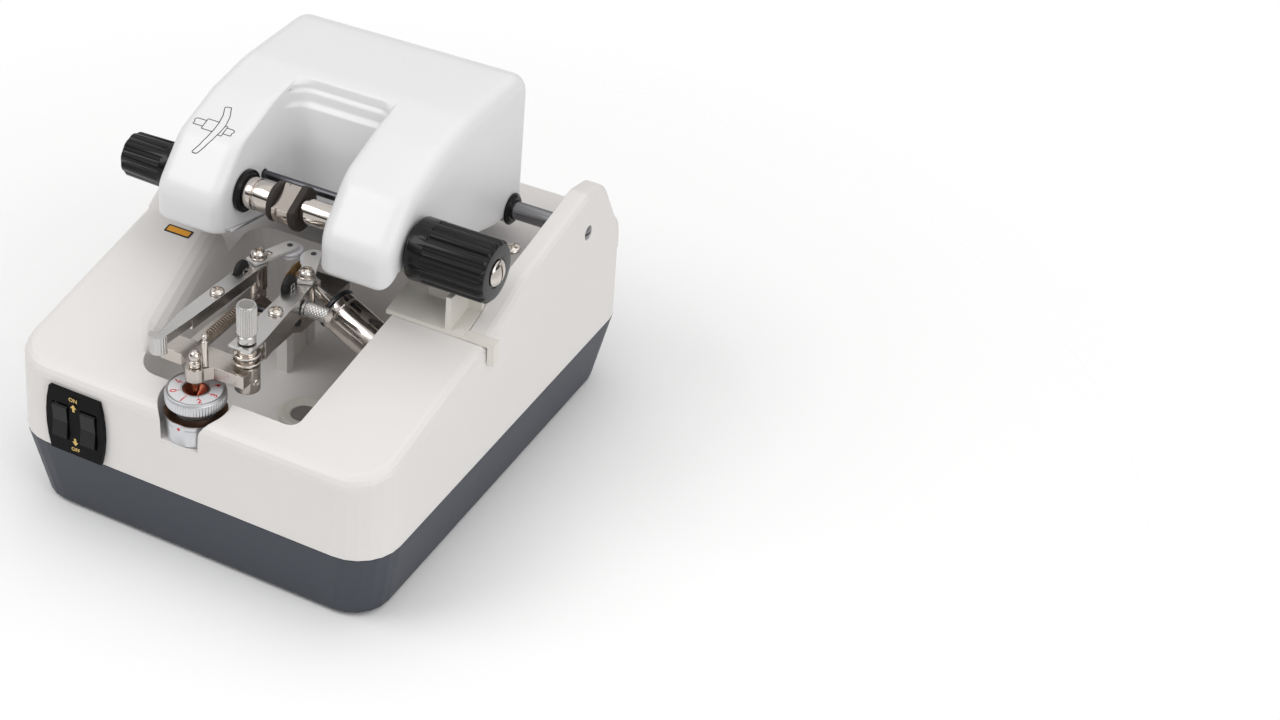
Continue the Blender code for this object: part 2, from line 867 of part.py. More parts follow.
def deck_wedge(name, low, wall):
    """The casing's plan raised to the sloping deck with a round rim, moved in by a wall."""
    half_w, half_d = CASE_W / 2, CASE_D / 2
    plans = []
    for shift in (wall, wall + LEAST_R):
        plans.append(rounded((
            (shift - half_w, shift - half_d, CORNER_R - shift),
            (half_w - shift, shift - half_d, CORNER_R - shift),
            (half_w - shift, half_d - shift, CORNER_R - shift),
            (shift - half_w, half_d - shift, CORNER_R - shift),
        ), 6))
    edge = TOP_EDGE_R - wall / 2
    levels = [(edge * (1 - cos(t)), edge * (1 - sin(t))) for t in (pi / 2 * i / 4 for i in range(5))]
    rings = [[(x, y, low) for x, y in plans[0]]]
    for shift, drop in levels:
        points = []
        for here, inner in zip(*plans):
            height = deck_height(here[1]) - wall - drop
            share = (shift + lean_at(height)) / LEAST_R
            x, y = (a + (b - a) * share for a, b in zip(here, inner))
            points.append((x, y, deck_height(y) - wall - drop))
        rings.append(points)
    return loft(name, rings)


def ear(side):
    """One ear, leaning with the casing's wall and rounded along its outer edge."""
    start = EAR_RIGHT_Y if side > 0 else EAR_LEFT_Y
    corners = (
        (start, EAR_FOOT_Z, LEAST_R),
        (EAR_END_Y, EAR_FOOT_Z, LEAST_R),
        (EAR_END_Y, EAR_END_Z, EAR_ROUND),
        (EAR_BACK_Y, EAR_BACK_Z, EAR_ROUND),
        (EAR_TOP_Y, EAR_TOP_Z, EAR_ROUND),
        (EAR_SHOULDER_Y, EAR_SHOULDER_Z, EAR_ROUND),
        (EAR_RISE_Y, EAR_RISE_Z, EAR_ROUND),
        (EAR_HOLLOW_Y, EAR_HOLLOW_Z, EAR_ROUND),
        (start, deck_height(start), LEAST_R),
    )
    inner, outer = CASE_W / 2 - EAR_T * 2, CASE_W / 2
    made = pillow("ear", corners, inner, outer, EAR_EDGE_R)
    for vertex in made.data.vertices:
        vertex.co.x = side * (vertex.co.x - lean_at(vertex.co.z))
    if side < 0:
        made.data.flip_normals()
    return made


def casing_block():
    """The casing's outer form: the deck, cut down behind, with both ears on it."""
    form = deck_wedge("upper_casing", SEAM_Z + GAP, 0.0)
    start, rear = WELL_Y + GAP, CASE_D / 2 + OVERRUN
    top = deck_height(rear) + OVERRUN
    behind = [(start, EAR_END_Z), (rear, EAR_END_Z), (rear, top), (start, top)]
    cut(form, side_plate("behind", behind, -CASE_W, CASE_W))
    return join(form, ear(-1), ear(1))


def saddle(grow=0.0):
    """What is cleared between the ears: the deck's rise and the flat well behind it."""
    reach = CASE_W / 2 - EAR_T + grow
    start = EAR_RIGHT_Y + GAP
    top, rear = EAR_TOP_Z + OVERRUN, CASE_D / 2 + OVERRUN
    outline = [
        (start, deck_height(start)),
        (WELL_Y, deck_height(WELL_Y)),
        (WELL_Y, WELL_Z),
        (rear, WELL_Z),
        (rear, top),
        (start, top),
    ]
    return side_plate("saddle", outline, -reach, reach)


def tray_ring(z, grow):
    """The tray's outline at a height, grown outwards by a wall where asked."""
    share = (z - TRAY_FLOOR_Z) / (TRAY_RIM_Z - TRAY_FLOOR_Z)
    inset = 1 - share
    front = TRAY_FRONT_Y + TRAY_END_LEAN * inset - grow
    rear = TRAY_REAR_Y - TRAY_END_LEAN * inset + grow
    left = TRAY_LEFT_LEAN * inset - grow
    right = TRAY_RIGHT_LEAN * inset - grow
    corners = (
        (TRAY_LEFT_FRONT_X + left, front, TRAY_CORNER_R),
        (TRAY_RIGHT_FRONT_X - right, front, TRAY_CORNER_R / 2),
        (TRAY_RIGHT_REAR_X - right, rear, TRAY_CORNER_R / 2),
        (TRAY_LEFT_REAR_X + left, rear, TRAY_CORNER_R),
    )
    return [(x, y, z) for x, y in rounded(corners)]


def tray(grow=0.0):
    """The coolant tray, wider at the top."""
    return loft("tray", [tray_ring(TRAY_FLOOR_Z - grow, grow), tray_ring(TRAY_TOP_Z, grow)])


def dial_bay(grow=0.0):
    """The round bay for the dial: wide above its sill, and a narrow well for the column."""
    wide = rod(
        "bay",
        (DIAL_X, DIAL_Y, BAY_SILL_Z - grow),
        (DIAL_X, DIAL_Y, TRAY_TOP_Z),
        BAY_R + grow,
        FINE,
    )
    narrow = rod(
        "bay_well",
        (DIAL_X, DIAL_Y, TRAY_FLOOR_Z - grow),
        (DIAL_X, DIAL_Y, BAY_SILL_Z + OVERRUN),
        BLOCK_COLUMN_R + GAP * 2 + grow,
        MEDIUM,
    )
    return join(wide, narrow)


def tray_flare(grow=0.0):
    """The wide round edge along the tray's left side, as the piece that it takes away."""
    lean = TRAY_LEFT_LEAN / (TRAY_RIM_Z - TRAY_FLOOR_Z)
    slant = sqrt(1 + lean * lean)
    rings = []
    for y, radius in (
        (TRAY_FRONT_Y + TRAY_CORNER_R, TRAY_FLARE_FRONT_R),
        (TRAY_FRONT_Y + TRAY_FLARE_R * 2, TRAY_FLARE_R),
        (WELL_Y + OVERRUN, TRAY_FLARE_R),
    ):
        run = (y - TRAY_FRONT_Y) / (TRAY_REAR_Y - TRAY_FRONT_Y)
        edge = TRAY_LEFT_FRONT_X + (TRAY_LEFT_REAR_X - TRAY_LEFT_FRONT_X) * run
        top = deck_height(y)
        edge -= lean * (top - TRAY_RIM_Z)
        middle = edge - radius * slant + lean * radius
        curve = arc((middle, top - radius), radius - grow, atan2(lean, 1.0), pi / 2, ARC_STEPS)
        points = [(edge + TRAY_FLARE_R, curve[0][1]), *curve, (middle, top + TRAY_FLARE_R)]
        points.append((edge + TRAY_FLARE_R, top + TRAY_FLARE_R))
        rings.append([(u, y, v) for u, v in points])
    return loft("flare", rings)


def casing_hollow():
    """The room inside the casing, with a wall left everywhere."""
    room = deck_wedge("casing_room", SEAM_Z - OVERRUN, WALL)
    start, rear, floor = WELL_Y - WALL, CASE_D / 2 + OVERRUN, WELL_Z - WALL
    top = deck_height(rear) + OVERRUN
    behind = [(start, floor), (rear, floor), (rear, top), (start, top)]
    cut(room, side_plate("behind", behind, -CASE_W, CASE_W))
    return cut(room, tray(WALL), dial_bay(WALL), tray_flare(WALL))


def pedestal():
    """Two pillars and their web, moulded on the tray's floor."""
    half = PILLAR / 2
    low = TRAY_FLOOR_Z - WALL / 2
    front = block(
        "pedestal",
        (PILLAR_FRONT_X - half, PILLAR_FRONT_Y - half, low),
        (PILLAR_FRONT_X + half, PILLAR_FRONT_Y + half, PILLAR_TOP_Z),
    )
    rear = block(
        "pillar_rear",
        (PILLAR_REAR_X - half, PILLAR_REAR_Y - half, low),
        (PILLAR_REAR_X + half, PILLAR_REAR_Y + half, PILLAR_TOP_Z),
    )
    run = Vector((PILLAR_REAR_X - PILLAR_FRONT_X, PILLAR_REAR_Y - PILLAR_FRONT_Y))
    side = Vector((run.y, -run.x)).normalized() * PILLAR_WEB / 2
    start, end = Vector((PILLAR_FRONT_X, PILLAR_FRONT_Y)), Vector((PILLAR_REAR_X, PILLAR_REAR_Y))
    web = flat_plate(
        "pillar_web",
        [(start - side)[:], (start + side)[:], (end + side)[:], (end - side)[:]],
        low,
        PILLAR_TOP_Z - PILLAR_WEB,
    )
    return join(front, rear, web)


def motor_axis():
    """The grooving motor's axis, as a unit vector."""
    return Vector((AXIS_X_SHARE, AXIS_Y_SHARE, AXIS_Z_SHARE)).normalized()


def on_motor(distance):
    """A point on the motor's axis, at a distance from the wheel."""
    return Vector((WHEEL_X, WHEEL_Y, WHEEL_Z)) + motor_axis() * distance


def on_motor_place(distance):
    """A place on the motor's axis, with +Z along it."""
    return Matrix.Translation(on_motor(distance)) @ aim(motor_axis())


def switch_centre():
    """The middle of the switch plate on the front wall."""
    return PLATE_LEFT_X + PLATE_W / 2, PLATE_BOTTOM_Z + PLATE_H / 2


def front_face_y(z):
    """Where the leaning front wall is, at a height."""
    return lean_at(z) - CASE_D / 2


def switch_hole():
    """The opening behind the switch plate."""
    x, z = switch_centre()
    half_w = (ROCKER_SPACING + ROCKER_W) / 2 + GAP * 2
    half_h = ROCKER_H / 2 + GAP * 2
    front = -CASE_D / 2 - OVERRUN
    return block(
        "switch_hole",
        (x - half_w, front, z - half_h),
        (x + half_w, front + OVERRUN * 2 + WALL, z + half_h),
    )


def inlet_hole():
    """The opening for the mains inlet."""
    half_w, half_h = INLET_BODY_W / 2 + GAP, INLET_BODY_H / 2 + GAP
    rear = CASE_D / 2 + OVERRUN
    return block(
        "inlet_hole",
        (INLET_X - half_w, rear - OVERRUN * 2 - WALL, INLET_Z - half_h),
        (INLET_X + half_w, rear, INLET_Z + half_h),
    )


def ear_bores():
    """Seats for the hinge shaft in both ears, and the holes for its screws."""
    inner, outer = CASE_W / 2 - EAR_T, CASE_W / 2 + OVERRUN
    face = ear_face_x()
    bores = []
    for side in (-1, 1):
        bores.append(rod(
            "shaft_seat",
            (side * (inner - OVERRUN), HINGE_Y, HINGE_Z),
            (side * (inner + HINGE_SEAT), HINGE_Y, HINGE_Z),
            HINGE_R + GAP,
        ))
        bores.append(rod(
            "screw_hole",
            (side * inner, HINGE_Y, HINGE_Z),
            (side * outer, HINGE_Y, HINGE_Z),
            EAR_SCREW_SHANK_R + GAP,
            SMALL,
        ))
        bores.append(rod(
            "screw_sink",
            (side * (face - EAR_SCREW_SINK), HINGE_Y, HINGE_Z),
            (side * outer, HINGE_Y, HINGE_Z),
            EAR_SCREW_R + GAP,
            SMALL,
        ))
    return bores


def ear_face_x():
    """How far out the leaning ear's face is, at the hinge's height."""
    return CASE_W / 2 - lean_at(HINGE_Z)


def shield_notch():
    """The step in the right ear's foot where the shield's hook passes over it."""
    return block(
        "shield_notch",
        (CASE_W / 2 - EAR_T - OVERRUN / 2, SHIELD_FRONT_Y - GAP, shield_low_z() - GAP),
        (CASE_W / 2 + OVERRUN, SHIELD_FRONT_Y + SHIELD_HOOK_W + GAP, EAR_TOP_Z),
    )


def shield_low_z():
    """The underside of the shield's ledge, level with its front edge."""
    return deck_height(SHIELD_FRONT_Y) + GAP


def upper_casing():
    """The ivory casing: sloping deck, ears, tray, dial bay and pedestal."""
    casing = casing_block()
    cut(casing, saddle(), tray(), dial_bay(), tray_flare())
    cut(casing, casing_hollow())
    join(casing, pedestal())
    drain = rod(
        "drain_hole",
        (DRAIN_X, DRAIN_Y, TRAY_FLOOR_Z - WALL - OVERRUN),
        (DRAIN_X, DRAIN_Y, TRAY_FLOOR_Z + OVERRUN / 2),
        DRAIN_HOLE_R + WALL / 2 + GAP,
    )
    motor_hole = rod(
        "motor_hole",
        on_motor(MOTOR_RING_AT + CRADLE_T),
        on_motor(CRADLE_AT - CRADLE_T / 2),
        MOTOR_R + GAP * 1.5,
    )
    cut(casing, drain, motor_hole, switch_hole(), inlet_hole(), shield_notch(), *ear_bores())
    return finish_piece(casing, IVORY)


def splash_shield():
    """The cream shield: a ledge on the deck, a back wall, a fin and a hook over the side."""
    inner = CASE_W / 2 - EAR_T - GAP
    low = shield_low_z()
    top = low + SHIELD_T
    rise = DECK_SLOPE * (SHIELD_REAR_Y - SHIELD_FRONT_Y)
    ledge = [
        (SHIELD_FRONT_Y, low),
        (SHIELD_REAR_Y, low + rise),
        (SHIELD_REAR_Y, top + rise),
        (SHIELD_FRONT_Y, top),
    ]
    shield = side_plate("splash_shield", ledge, SHIELD_LEFT_X, inner)
    hook_low = low - SHIELD_HOOK_DROP
    side_x = CASE_W / 2 + GAP
    bridge = block(
        "bridge",
        (inner - SHIELD_T, SHIELD_FRONT_Y, low),
        (side_x + SHIELD_T / 2, SHIELD_FRONT_Y + SHIELD_HOOK_W, top),
    )
    hook = block(
        "hook",
        (side_x - CASE_LEAN / 2, SHIELD_FRONT_Y, hook_low),
        (side_x + SHIELD_T, SHIELD_FRONT_Y + SHIELD_HOOK_W, top),
    )
    back = side_plate(
        "back_wall",
        [
            (SHIELD_REAR_Y - SHIELD_T, low + rise - DECK_SLOPE * SHIELD_T),
            (SHIELD_REAR_Y, low + rise),
            (SHIELD_REAR_Y, SHIELD_BACK_Z),
            (SHIELD_REAR_Y - SHIELD_T, SHIELD_BACK_Z),
        ],
        SHIELD_BACK_X,
        inner,
    )
    fin = side_plate(
        "fin",
        [
            (SHIELD_FRONT_Y, low + SHIELD_T / 2),
            (SHIELD_REAR_Y - SHIELD_T / 2, low + rise + SHIELD_T / 2),
            (SHIELD_REAR_Y - SHIELD_T / 2, SHIELD_BACK_Z),
            (SHIELD_FRONT_Y + SHIELD_T, SHIELD_FIN_TOP_Z),
            (SHIELD_FRONT_Y, SHIELD_FIN_TOP_Z),
        ],
        SHIELD_FIN_X,
        SHIELD_FIN_X + SHIELD_FIN_T,
    )
    join(shield, bridge, hook, back, fin)
    return finish_piece(shield, CREAM)


def drain_cup():
    """The raised ring round the tray's drain, with its cup and spout below the floor."""
    seat = TRAY_FLOOR_Z + GAP
    top = seat + DRAIN_RISE
    neck = DRAIN_HOLE_R + WALL / 2
    floor = seat - DRAIN_DEPTH
    profile = [
        (DRAIN_LIP_R, top),
        (DRAIN_LIP_R + GAP, top - DRAIN_RISE / 4),
        (DRAIN_R - DRAIN_RISE / 4, top - DRAIN_RISE / 3),
        (DRAIN_R, top - DRAIN_RISE / 2),
        (DRAIN_R, seat),
        (neck, seat),
        (neck, floor - WALL / 2),
        (DRAIN_SPOUT_R + WALL / 2, floor - WALL / 2),
        (DRAIN_SPOUT_R + WALL / 2, floor - DRAIN_DEPTH / 2),
        (DRAIN_SPOUT_R, floor - DRAIN_DEPTH / 2),
        (DRAIN_SPOUT_R, floor),
        (DRAIN_HOLE_R, floor),
        (DRAIN_HOLE_R, top - DRAIN_RISE / 4),
        (DRAIN_HOLE_R + GAP, top),
    ]
    cup = turned("drain_cup", profile, at(DRAIN_X, DRAIN_Y, 0.0), MEDIUM, closed=True)
    return finish_piece(cup, IVORY)


def power_inlet():
    """A mains inlet with three blades, in the rear wall."""
    face = rear_face_y(INLET_Z - INLET_H / 2) + GAP
    half_w, half_h = INLET_W / 2, INLET_H / 2
    inlet = block(
        "power_inlet",
        (INLET_X - half_w, face, INLET_Z - half_h),
        (INLET_X + half_w, face + INLET_FLANGE_T, INLET_Z + half_h),
    )
    half_w, half_h = INLET_BODY_W / 2, INLET_BODY_H / 2
    body = block(
        "inlet_body",
        (INLET_X - half_w, face - INLET_DEPTH, INLET_Z - half_h),
        (INLET_X + half_w, face + INLET_FLANGE_T / 2, INLET_Z + half_h),
    )
    half_w, half_h = INLET_MOUTH_W / 2, INLET_MOUTH_H / 2
    chamfer = INLET_MOUTH_H / 4
    mouth = plate(
        "mouth",
        [
            (-half_w, -half_h),
            (half_w, -half_h),
            (half_w, half_h - chamfer),
            (half_w - chamfer, half_h),
            (chamfer - half_w, half_h),
            (-half_w, half_h - chamfer),
        ],
        INLET_MOUTH_DEPTH + OVERRUN,
        at(INLET_X, face + INLET_FLANGE_T + (OVERRUN - INLET_MOUTH_DEPTH) / 2, INLET_Z)
        @ Matrix.Rotation(pi / 2, 4, "X"),
    )
    join(inlet, body)
    cut(inlet, mouth)
    floor = face + INLET_FLANGE_T - INLET_MOUTH_DEPTH
    for offset, height in ((-1, 0), (0, 1), (1, 0)):
        x = INLET_X + offset * INLET_BLADE_SPREAD
        z = INLET_Z + height * INLET_BLADE_W
        join(inlet, block(
            "blade",
            (x - INLET_BLADE_W / 2, floor - INLET_BLADE_W, z - INLET_BLADE_H / 2),
            (x + INLET_BLADE_W / 2, floor + INLET_BLADE_LENGTH, z + INLET_BLADE_H / 2),
        ))
    return finish_piece(inlet, BLACK)


def rear_face_y(z):
    """Where the leaning rear wall is, at a height."""
    return -front_face_y(z)


def switch_plate():
    """The black plate with bulging sides and two rocker openings."""
    x, z = switch_centre()
    half_w, half_h = PLATE_W / 2 - PLATE_BULGE, PLATE_H / 2
    radius = (half_h ** 2 + PLATE_BULGE ** 2) / (2 * PLATE_BULGE)
    spread = atan2(half_h, radius - PLATE_BULGE)
    middle = half_w + PLATE_BULGE - radius
    outline = arc((middle, 0.0), radius, -spread, spread) + arc((-middle, 0.0), radius, pi - spread, pi + spread)
    face = front_face_y(z)
    turn = Matrix.Rotation(pi / 2, 4, "X")
    lean = Matrix.Rotation(-CASE_LEAN / (EAR_TOP_Z - SEAM_Z), 4, "X")
    made = plate("switch_plate", outline, PLATE_T, at(x, face - GAP - PLATE_T / 2, z) @ lean @ turn)
    for side in (-1, 1):
        middle_x = x + side * ROCKER_SPACING / 2
        half_w, half_h = ROCKER_W / 2 + GAP, ROCKER_H / 2 + GAP
        cut(made, block(
            "rocker_window",
            (middle_x - half_w, face - OVERRUN, z - half_h),
            (middle_x + half_w, face + OVERRUN, z + half_h),
        ))
    return finish_piece(made, BLACK)


def rockers():
    """Two rocker switches, each on a pivot along X behind the plate."""
    x, z = switch_centre()
    face = front_face_y(z) - GAP - PLATE_T
    half_h = ROCKER_H / 2 - GAP * 2
    back = face + ROCKER_T
    front = face - ROCKER_RISE
    outline = [
        (back, z - half_h / 2),
        (back, z + half_h / 2),
        (face + GAP, z + half_h),
        (front + ROCKER_RISE / 2, z + half_h * 0.94),
        (front + ROCKER_RISE * 0.7, z),
        (front, z - half_h * 0.94),
        (face + GAP, z - half_h),
    ]
    for name, side in (("left_rocker", -1), ("right_rocker", 1)):
        middle = x + side * ROCKER_SPACING / 2
        half_w = ROCKER_W / 2 - GAP
        rocker = side_plate(name, outline, middle - half_w, middle + half_w)
        finish_piece(rocker, BLACK)


# Dial and its block

def dial_block():
    """The aluminium block under the dial: a wide head on a column, flat at the front."""
    sill = BAY_SILL_Z + GAP
    head = turned(
        "dial_block",
        [
            (0.0, BLOCK_TOP_Z),
            (BLOCK_R, BLOCK_TOP_Z),
            (BLOCK_R, sill),
            (BLOCK_COLUMN_R, sill),
            (BLOCK_COLUMN_R, TRAY_FLOOR_Z + GAP),
            (0.0, TRAY_FLOOR_Z + GAP),
        ],
        at(DIAL_X, DIAL_Y, 0.0),
        FINE,
    )
    cut(
        head,
        block(
            "front_flat",
            (DIAL_X - BLOCK_R, BLOCK_FLAT_Y - OVERRUN, sill - OVERRUN),
            (DIAL_X + BLOCK_R, BLOCK_FLAT_Y, BLOCK_TOP_Z + OVERRUN),
        ),
        rod(
            "stem_bore",
            (DIAL_X, DIAL_Y, BLOCK_TOP_Z - STEM_LENGTH - GAP * 2),
            (DIAL_X, DIAL_Y, BLOCK_TOP_Z + OVERRUN),
            STEM_R + GAP * 1.5,
            SMALL,
        ),
    )
    return finish_piece(head, ALUMINIUM)


def depth_dial():
    """The knurled dial: a ribbed rim, a sunk face and a hole for the funnel."""
    low = DIAL_TOP_Z - DIAL_RIM_H
    dial = fluted(
        "depth_dial",
        [
            (low, DIAL_R - DIAL_RIB_DEPTH, 0.0),
            (low + DIAL_RIB_DEPTH, DIAL_R, DIAL_RIB_DEPTH),
            (DIAL_TOP_Z - DIAL_RIB_DEPTH * 2, DIAL_R, DIAL_RIB_DEPTH),
            (DIAL_TOP_Z, DIAL_R - DIAL_RIB_DEPTH * 2, 0.0),
        ],
        DIAL_RIBS,
        at(DIAL_X, DIAL_Y, 0.0),
        steps=3,
    )
    neck_low = BLOCK_TOP_Z + GAP
    neck = rod(
        "dial_neck",
        (DIAL_X, DIAL_Y, neck_low),
        (DIAL_X, DIAL_Y, low + DIAL_RIM_H / 2),
        DIAL_NECK_R,
    )
    join(dial, neck)
    cut(dial, rod(
        "funnel_hole",
        (DIAL_X, DIAL_Y, neck_low - OVERRUN),
        (DIAL_X, DIAL_Y, DIAL_TOP_Z + OVERRUN),
        DIAL_HOLE_R,
    ))
    return finish_piece(dial, ALUMINIUM)


def dial_funnel():
    """The copper funnel in the dial, on the threaded stem that goes down into the block."""
    outer = DIAL_HOLE_R - GAP
    low = BLOCK_TOP_Z + GAP
    stem_low = BLOCK_TOP_Z - STEM_LENGTH
    lip = DIAL_TOP_Z - DIAL_FACE_DROP
    funnel = turned(
        "dial_funnel",
        [
            (0.0, FUNNEL_FLOOR_Z),
            (FUNNEL_FLOOR_R, FUNNEL_FLOOR_Z),
            (outer - GAP * 2, lip),
            (outer, lip),
            (outer, low),
            (STEM_R, low),
            (STEM_R, stem_low),
            (0.0, stem_low),
        ],
        at(DIAL_X, DIAL_Y, 0.0),
        MEDIUM,
    )
    return finish_piece(funnel, COPPER)


# Mechanism in the tray

def mechanism_bracket():
    """The bracket on the pedestal: base plate, two cheeks for the lever's shaft, spring anchor."""
    low = PILLAR_TOP_Z + GAP
    top = low + BRACKET_T
    bracket = block(
        "mechanism_bracket",
        (BRACKET_LEFT_X, BRACKET_FRONT_Y, low),
        (BRACKET_RIGHT_X, BRACKET_REAR_Y, top),
    )
    boss_top = LEVER_AXIS_Z + CHEEK_ROUND
    boss_low = LEVER_AXIS_Z - CHEEK_ROUND
    cheek = rounded((
        (BRACKET_FRONT_Y, low, 0),
        (BRACKET_FRONT_Y + BRACKET_T * 2, low, 0),
        (BRACKET_FRONT_Y + BRACKET_T * 2, top, 0),
        (CHEEK_REAR_Y, boss_top, CHEEK_ROUND),
        (CHEEK_FRONT_Y, boss_top, CHEEK_ROUND),
        (CHEEK_FRONT_Y, boss_low, CHEEK_ROUND / 2),
    ), 3)
    for left in (BRACKET_LEFT_X, BRACKET_RIGHT_X - CHEEK_T):
        join(bracket, side_plate("cheek", cheek, left, left + CHEEK_T))
    half = ANCHOR_W / 2
    bridge = block(
        "bridge",
        (BRACKET_LEFT_X + CHEEK_T / 2, CHEEK_FRONT_Y + GAP, ANCHOR_Z),
        (BRACKET_RIGHT_X - CHEEK_T / 2, CHEEK_FRONT_Y + ANCHOR_T, ANCHOR_Z + ANCHOR_T),
    )
    anchor_y = SPRING_REAR_Y + SPRING_LEAD + GAP * 3 + SPRING_POST_R
    foot = block(
        "anchor_foot",
        (SPRING_X - half, anchor_y - half, ANCHOR_Z),
        (SPRING_X + half, CHEEK_FRONT_Y + ANCHOR_T / 2, ANCHOR_Z + ANCHOR_T),
    )
    anchor = rod(
        "anchor",
        (SPRING_X, anchor_y, ANCHOR_Z + ANCHOR_T / 2),
        (SPRING_X, anchor_y, SPRING_POST_TOP_Z),
        SPRING_POST_R,
        SMALL,
    )
    shaft_hole = rod(
        "shaft_hole",
        (BRACKET_LEFT_X - OVERRUN, LEVER_AXIS_Y, LEVER_AXIS_Z),
        (BRACKET_RIGHT_X + OVERRUN, LEVER_AXIS_Y, LEVER_AXIS_Z),
        LEVER_SHAFT_R + GAP,
        SMALL,
    )
    join(bracket, bridge, foot, anchor)
    cut(bracket, shaft_hole)
    return finish_piece(bracket, NICKEL)


def lever_bars():
    """Where the lever's two side bars stand, as (inner, outer) places on X."""
    left_inner = BRACKET_LEFT_X - GAP * 2
    right_inner = BRACKET_RIGHT_X + GAP * 2
    return (left_inner - BAR_T, left_inner), (right_inner, right_inner + BAR_T)


def lever_casting():
    """The nickel lever: a crossbar with a nose over the dial, two bars and the arms' posts."""
    top = CROSSBAR_Z + CROSSBAR_T
    nose = arc((DIAL_X, NOSE_Y), NOSE_R, pi, tau, ARC_STEPS * 2)
    waist = NOSE_R * 1.6
    outline = [
        (CROSSBAR_LEFT_X, CROSSBAR_REAR_Y),
        (CROSSBAR_LEFT_X, CROSSBAR_FRONT_Y),
        (DIAL_X - waist * 1.4, CROSSBAR_FRONT_Y),
        *nose,
        (DIAL_X + waist, CROSSBAR_FRONT_Y - BAR_T / 4),
        (CROSSBAR_RIGHT_X, CROSSBAR_FRONT_Y - BAR_T / 4),
        (CROSSBAR_RIGHT_X, CROSSBAR_REAR_Y),
    ]
    lever = flat_plate("lever_casting", outline, CROSSBAR_Z, top)
    for inner, outer in lever_bars():
        bar = block("bar", (inner, BAR_FRONT_Y, BAR_Z), (outer, BAR_REAR_Y, BAR_Z + BAR_H))
        join(lever, bar)
    boss = rod("lock_boss", (LOCK_X, LOCK_Y, LOCK_BOSS_Z), (LOCK_X, LOCK_Y, top), LOCK_BOSS_R)
    join(lever, boss)
    post_top = ARM_Z - GAP
    for x, y in ((LEFT_PIVOT_X, LEFT_PIVOT_Y), (RIGHT_PIVOT_X, RIGHT_PIVOT_Y)):
        join(lever, rod("post", (x, y, BAR_Z + BAR_H - GAP), (x, y, post_top), POST_R))
        cut(lever, rod(
            "pivot_hole",
            (x, y, post_top - ARM_FLANGE),
            (x, y, post_top + OVERRUN),
            PIVOT_PIN_R + GAP,
            SMALL,
        ))
    shaft_reach = lever_bars()[1][1] + OVERRUN
    cut(
        lever,
        rod(
            "lever_hole",
            (-shaft_reach - OVERRUN, LEVER_AXIS_Y, LEVER_AXIS_Z),
            (shaft_reach, LEVER_AXIS_Y, LEVER_AXIS_Z),
            LEVER_SHAFT_R + GAP,
            SMALL,
        ),
        rod(
            "pin_hole",
            (DIAL_X, DIAL_Y, CROSSBAR_Z - OVERRUN),
            (DIAL_X, DIAL_Y, top + OVERRUN),
            PIN_R + GAP,
            SMALL,
        ),
        rod(
            "stud_hole",
            (LOCK_X, LOCK_Y, lock_stud_low() - GAP * 2),
            (LOCK_X, LOCK_Y, top + OVERRUN),
            LOCK_STUD_R + GAP,
            SMALL,
        ),
    )
    return finish_piece(lever, NICKEL)


def lever_shaft():
    """The cross shaft through the bracket's cheeks and the lever's bars."""
    (left_outer, _), (_, right_outer) = lever_bars()
    shaft = rod(
        "lever_shaft",
        (left_outer - BAR_T / 4, LEVER_AXIS_Y, LEVER_AXIS_Z),
        (right_outer + BAR_T / 4, LEVER_AXIS_Y, LEVER_AXIS_Z),
        LEVER_SHAFT_R,
        SMALL,
    )
    return finish_piece(shaft, DARK_STEEL)


def depth_screw():
    """The conical pin over the dial's funnel, with the ball nut that locks it on the nose."""
    base = CROSSBAR_Z + CROSSBAR_T + GAP
    sweep = [pi / 2 - pi * share / 8 * BALL_SHARE for share in range(9)]
    ball = [(NUT_R * cos(turn), NUT_BALL_Z + NUT_R * sin(turn)) for turn in sweep[1:]]
    screw = turned(
        "depth_screw",
        [
            (0.0, NUT_BALL_Z + NUT_R),
            *ball,
            (NUT_R * BALL_NECK_SHARE, base + NUT_BASE_H),
            (NUT_R, base + NUT_BASE_H),
            (NUT_R, base),
            (PIN_R, base),
            (PIN_R, CROSSBAR_Z - GAP),
            (PIN_TIP_R, PIN_TIP_Z + GAP),
            (0.0, PIN_TIP_Z),
        ],
        at(DIAL_X, DIAL_Y, 0.0),
        SMALL,
    )
    return finish_piece(screw, CHROME)


def spring_post():
    """The post on the crossbar that holds the spring's front end."""
    base = CROSSBAR_Z + CROSSBAR_T + GAP
    y = spring_post_y()
    post = turned(
        "spring_post",
        [
            (0.0, SPRING_POST_TOP_Z),
            (SPRING_POST_R, SPRING_POST_TOP_Z),
            (SPRING_POST_R, base + NUT_BASE_H),
            (SPRING_POST_R * 1.1, base + NUT_BASE_H),
            (SPRING_POST_R * 1.1, base),
            (0.0, base),
        ],
        at(SPRING_X, y, 0.0),
        SMALL,
    )
    return finish_piece(post, CHROME)


def spring_post_y():
    """The front post stands just in front of the spring's straight end."""
    return SPRING_FRONT_Y - SPRING_LEAD - GAP - SPRING_POST_R


def spring_points():
    """Points along the extension spring: a straight lead, the curls, a straight lead."""
    start, end = SPRING_FRONT_Y, SPRING_REAR_Y
    points = [(SPRING_X, start - SPRING_LEAD, SPRING_Z), (SPRING_X, start, SPRING_Z)]
    count = SPRING_TURNS * SPRING_POINTS
    ramp = SPRING_POINTS
    for i in range(1, count):
        turn = tau * i / SPRING_POINTS
        radius = SPRING_R * min(1.0, i / ramp, (count - i) / ramp)
        y = start + (end - start) * i / count
        points.append((SPRING_X + radius * cos(turn), y, SPRING_Z + radius * sin(turn)))
    points += [(SPRING_X, end, SPRING_Z), (SPRING_X, end + SPRING_LEAD, SPRING_Z)]
    return points


def least_gap(points, thickness, skip):
    """The least gap of a tube to itself, between points more than a skip apart."""
    least = None
    for i, first in enumerate(points):
        for second in points[i + skip:]:
            between = sqrt(sum((a - b) ** 2 for a, b in zip(first, second))) - thickness
            least = between if least is None else min(least, between)
    return least


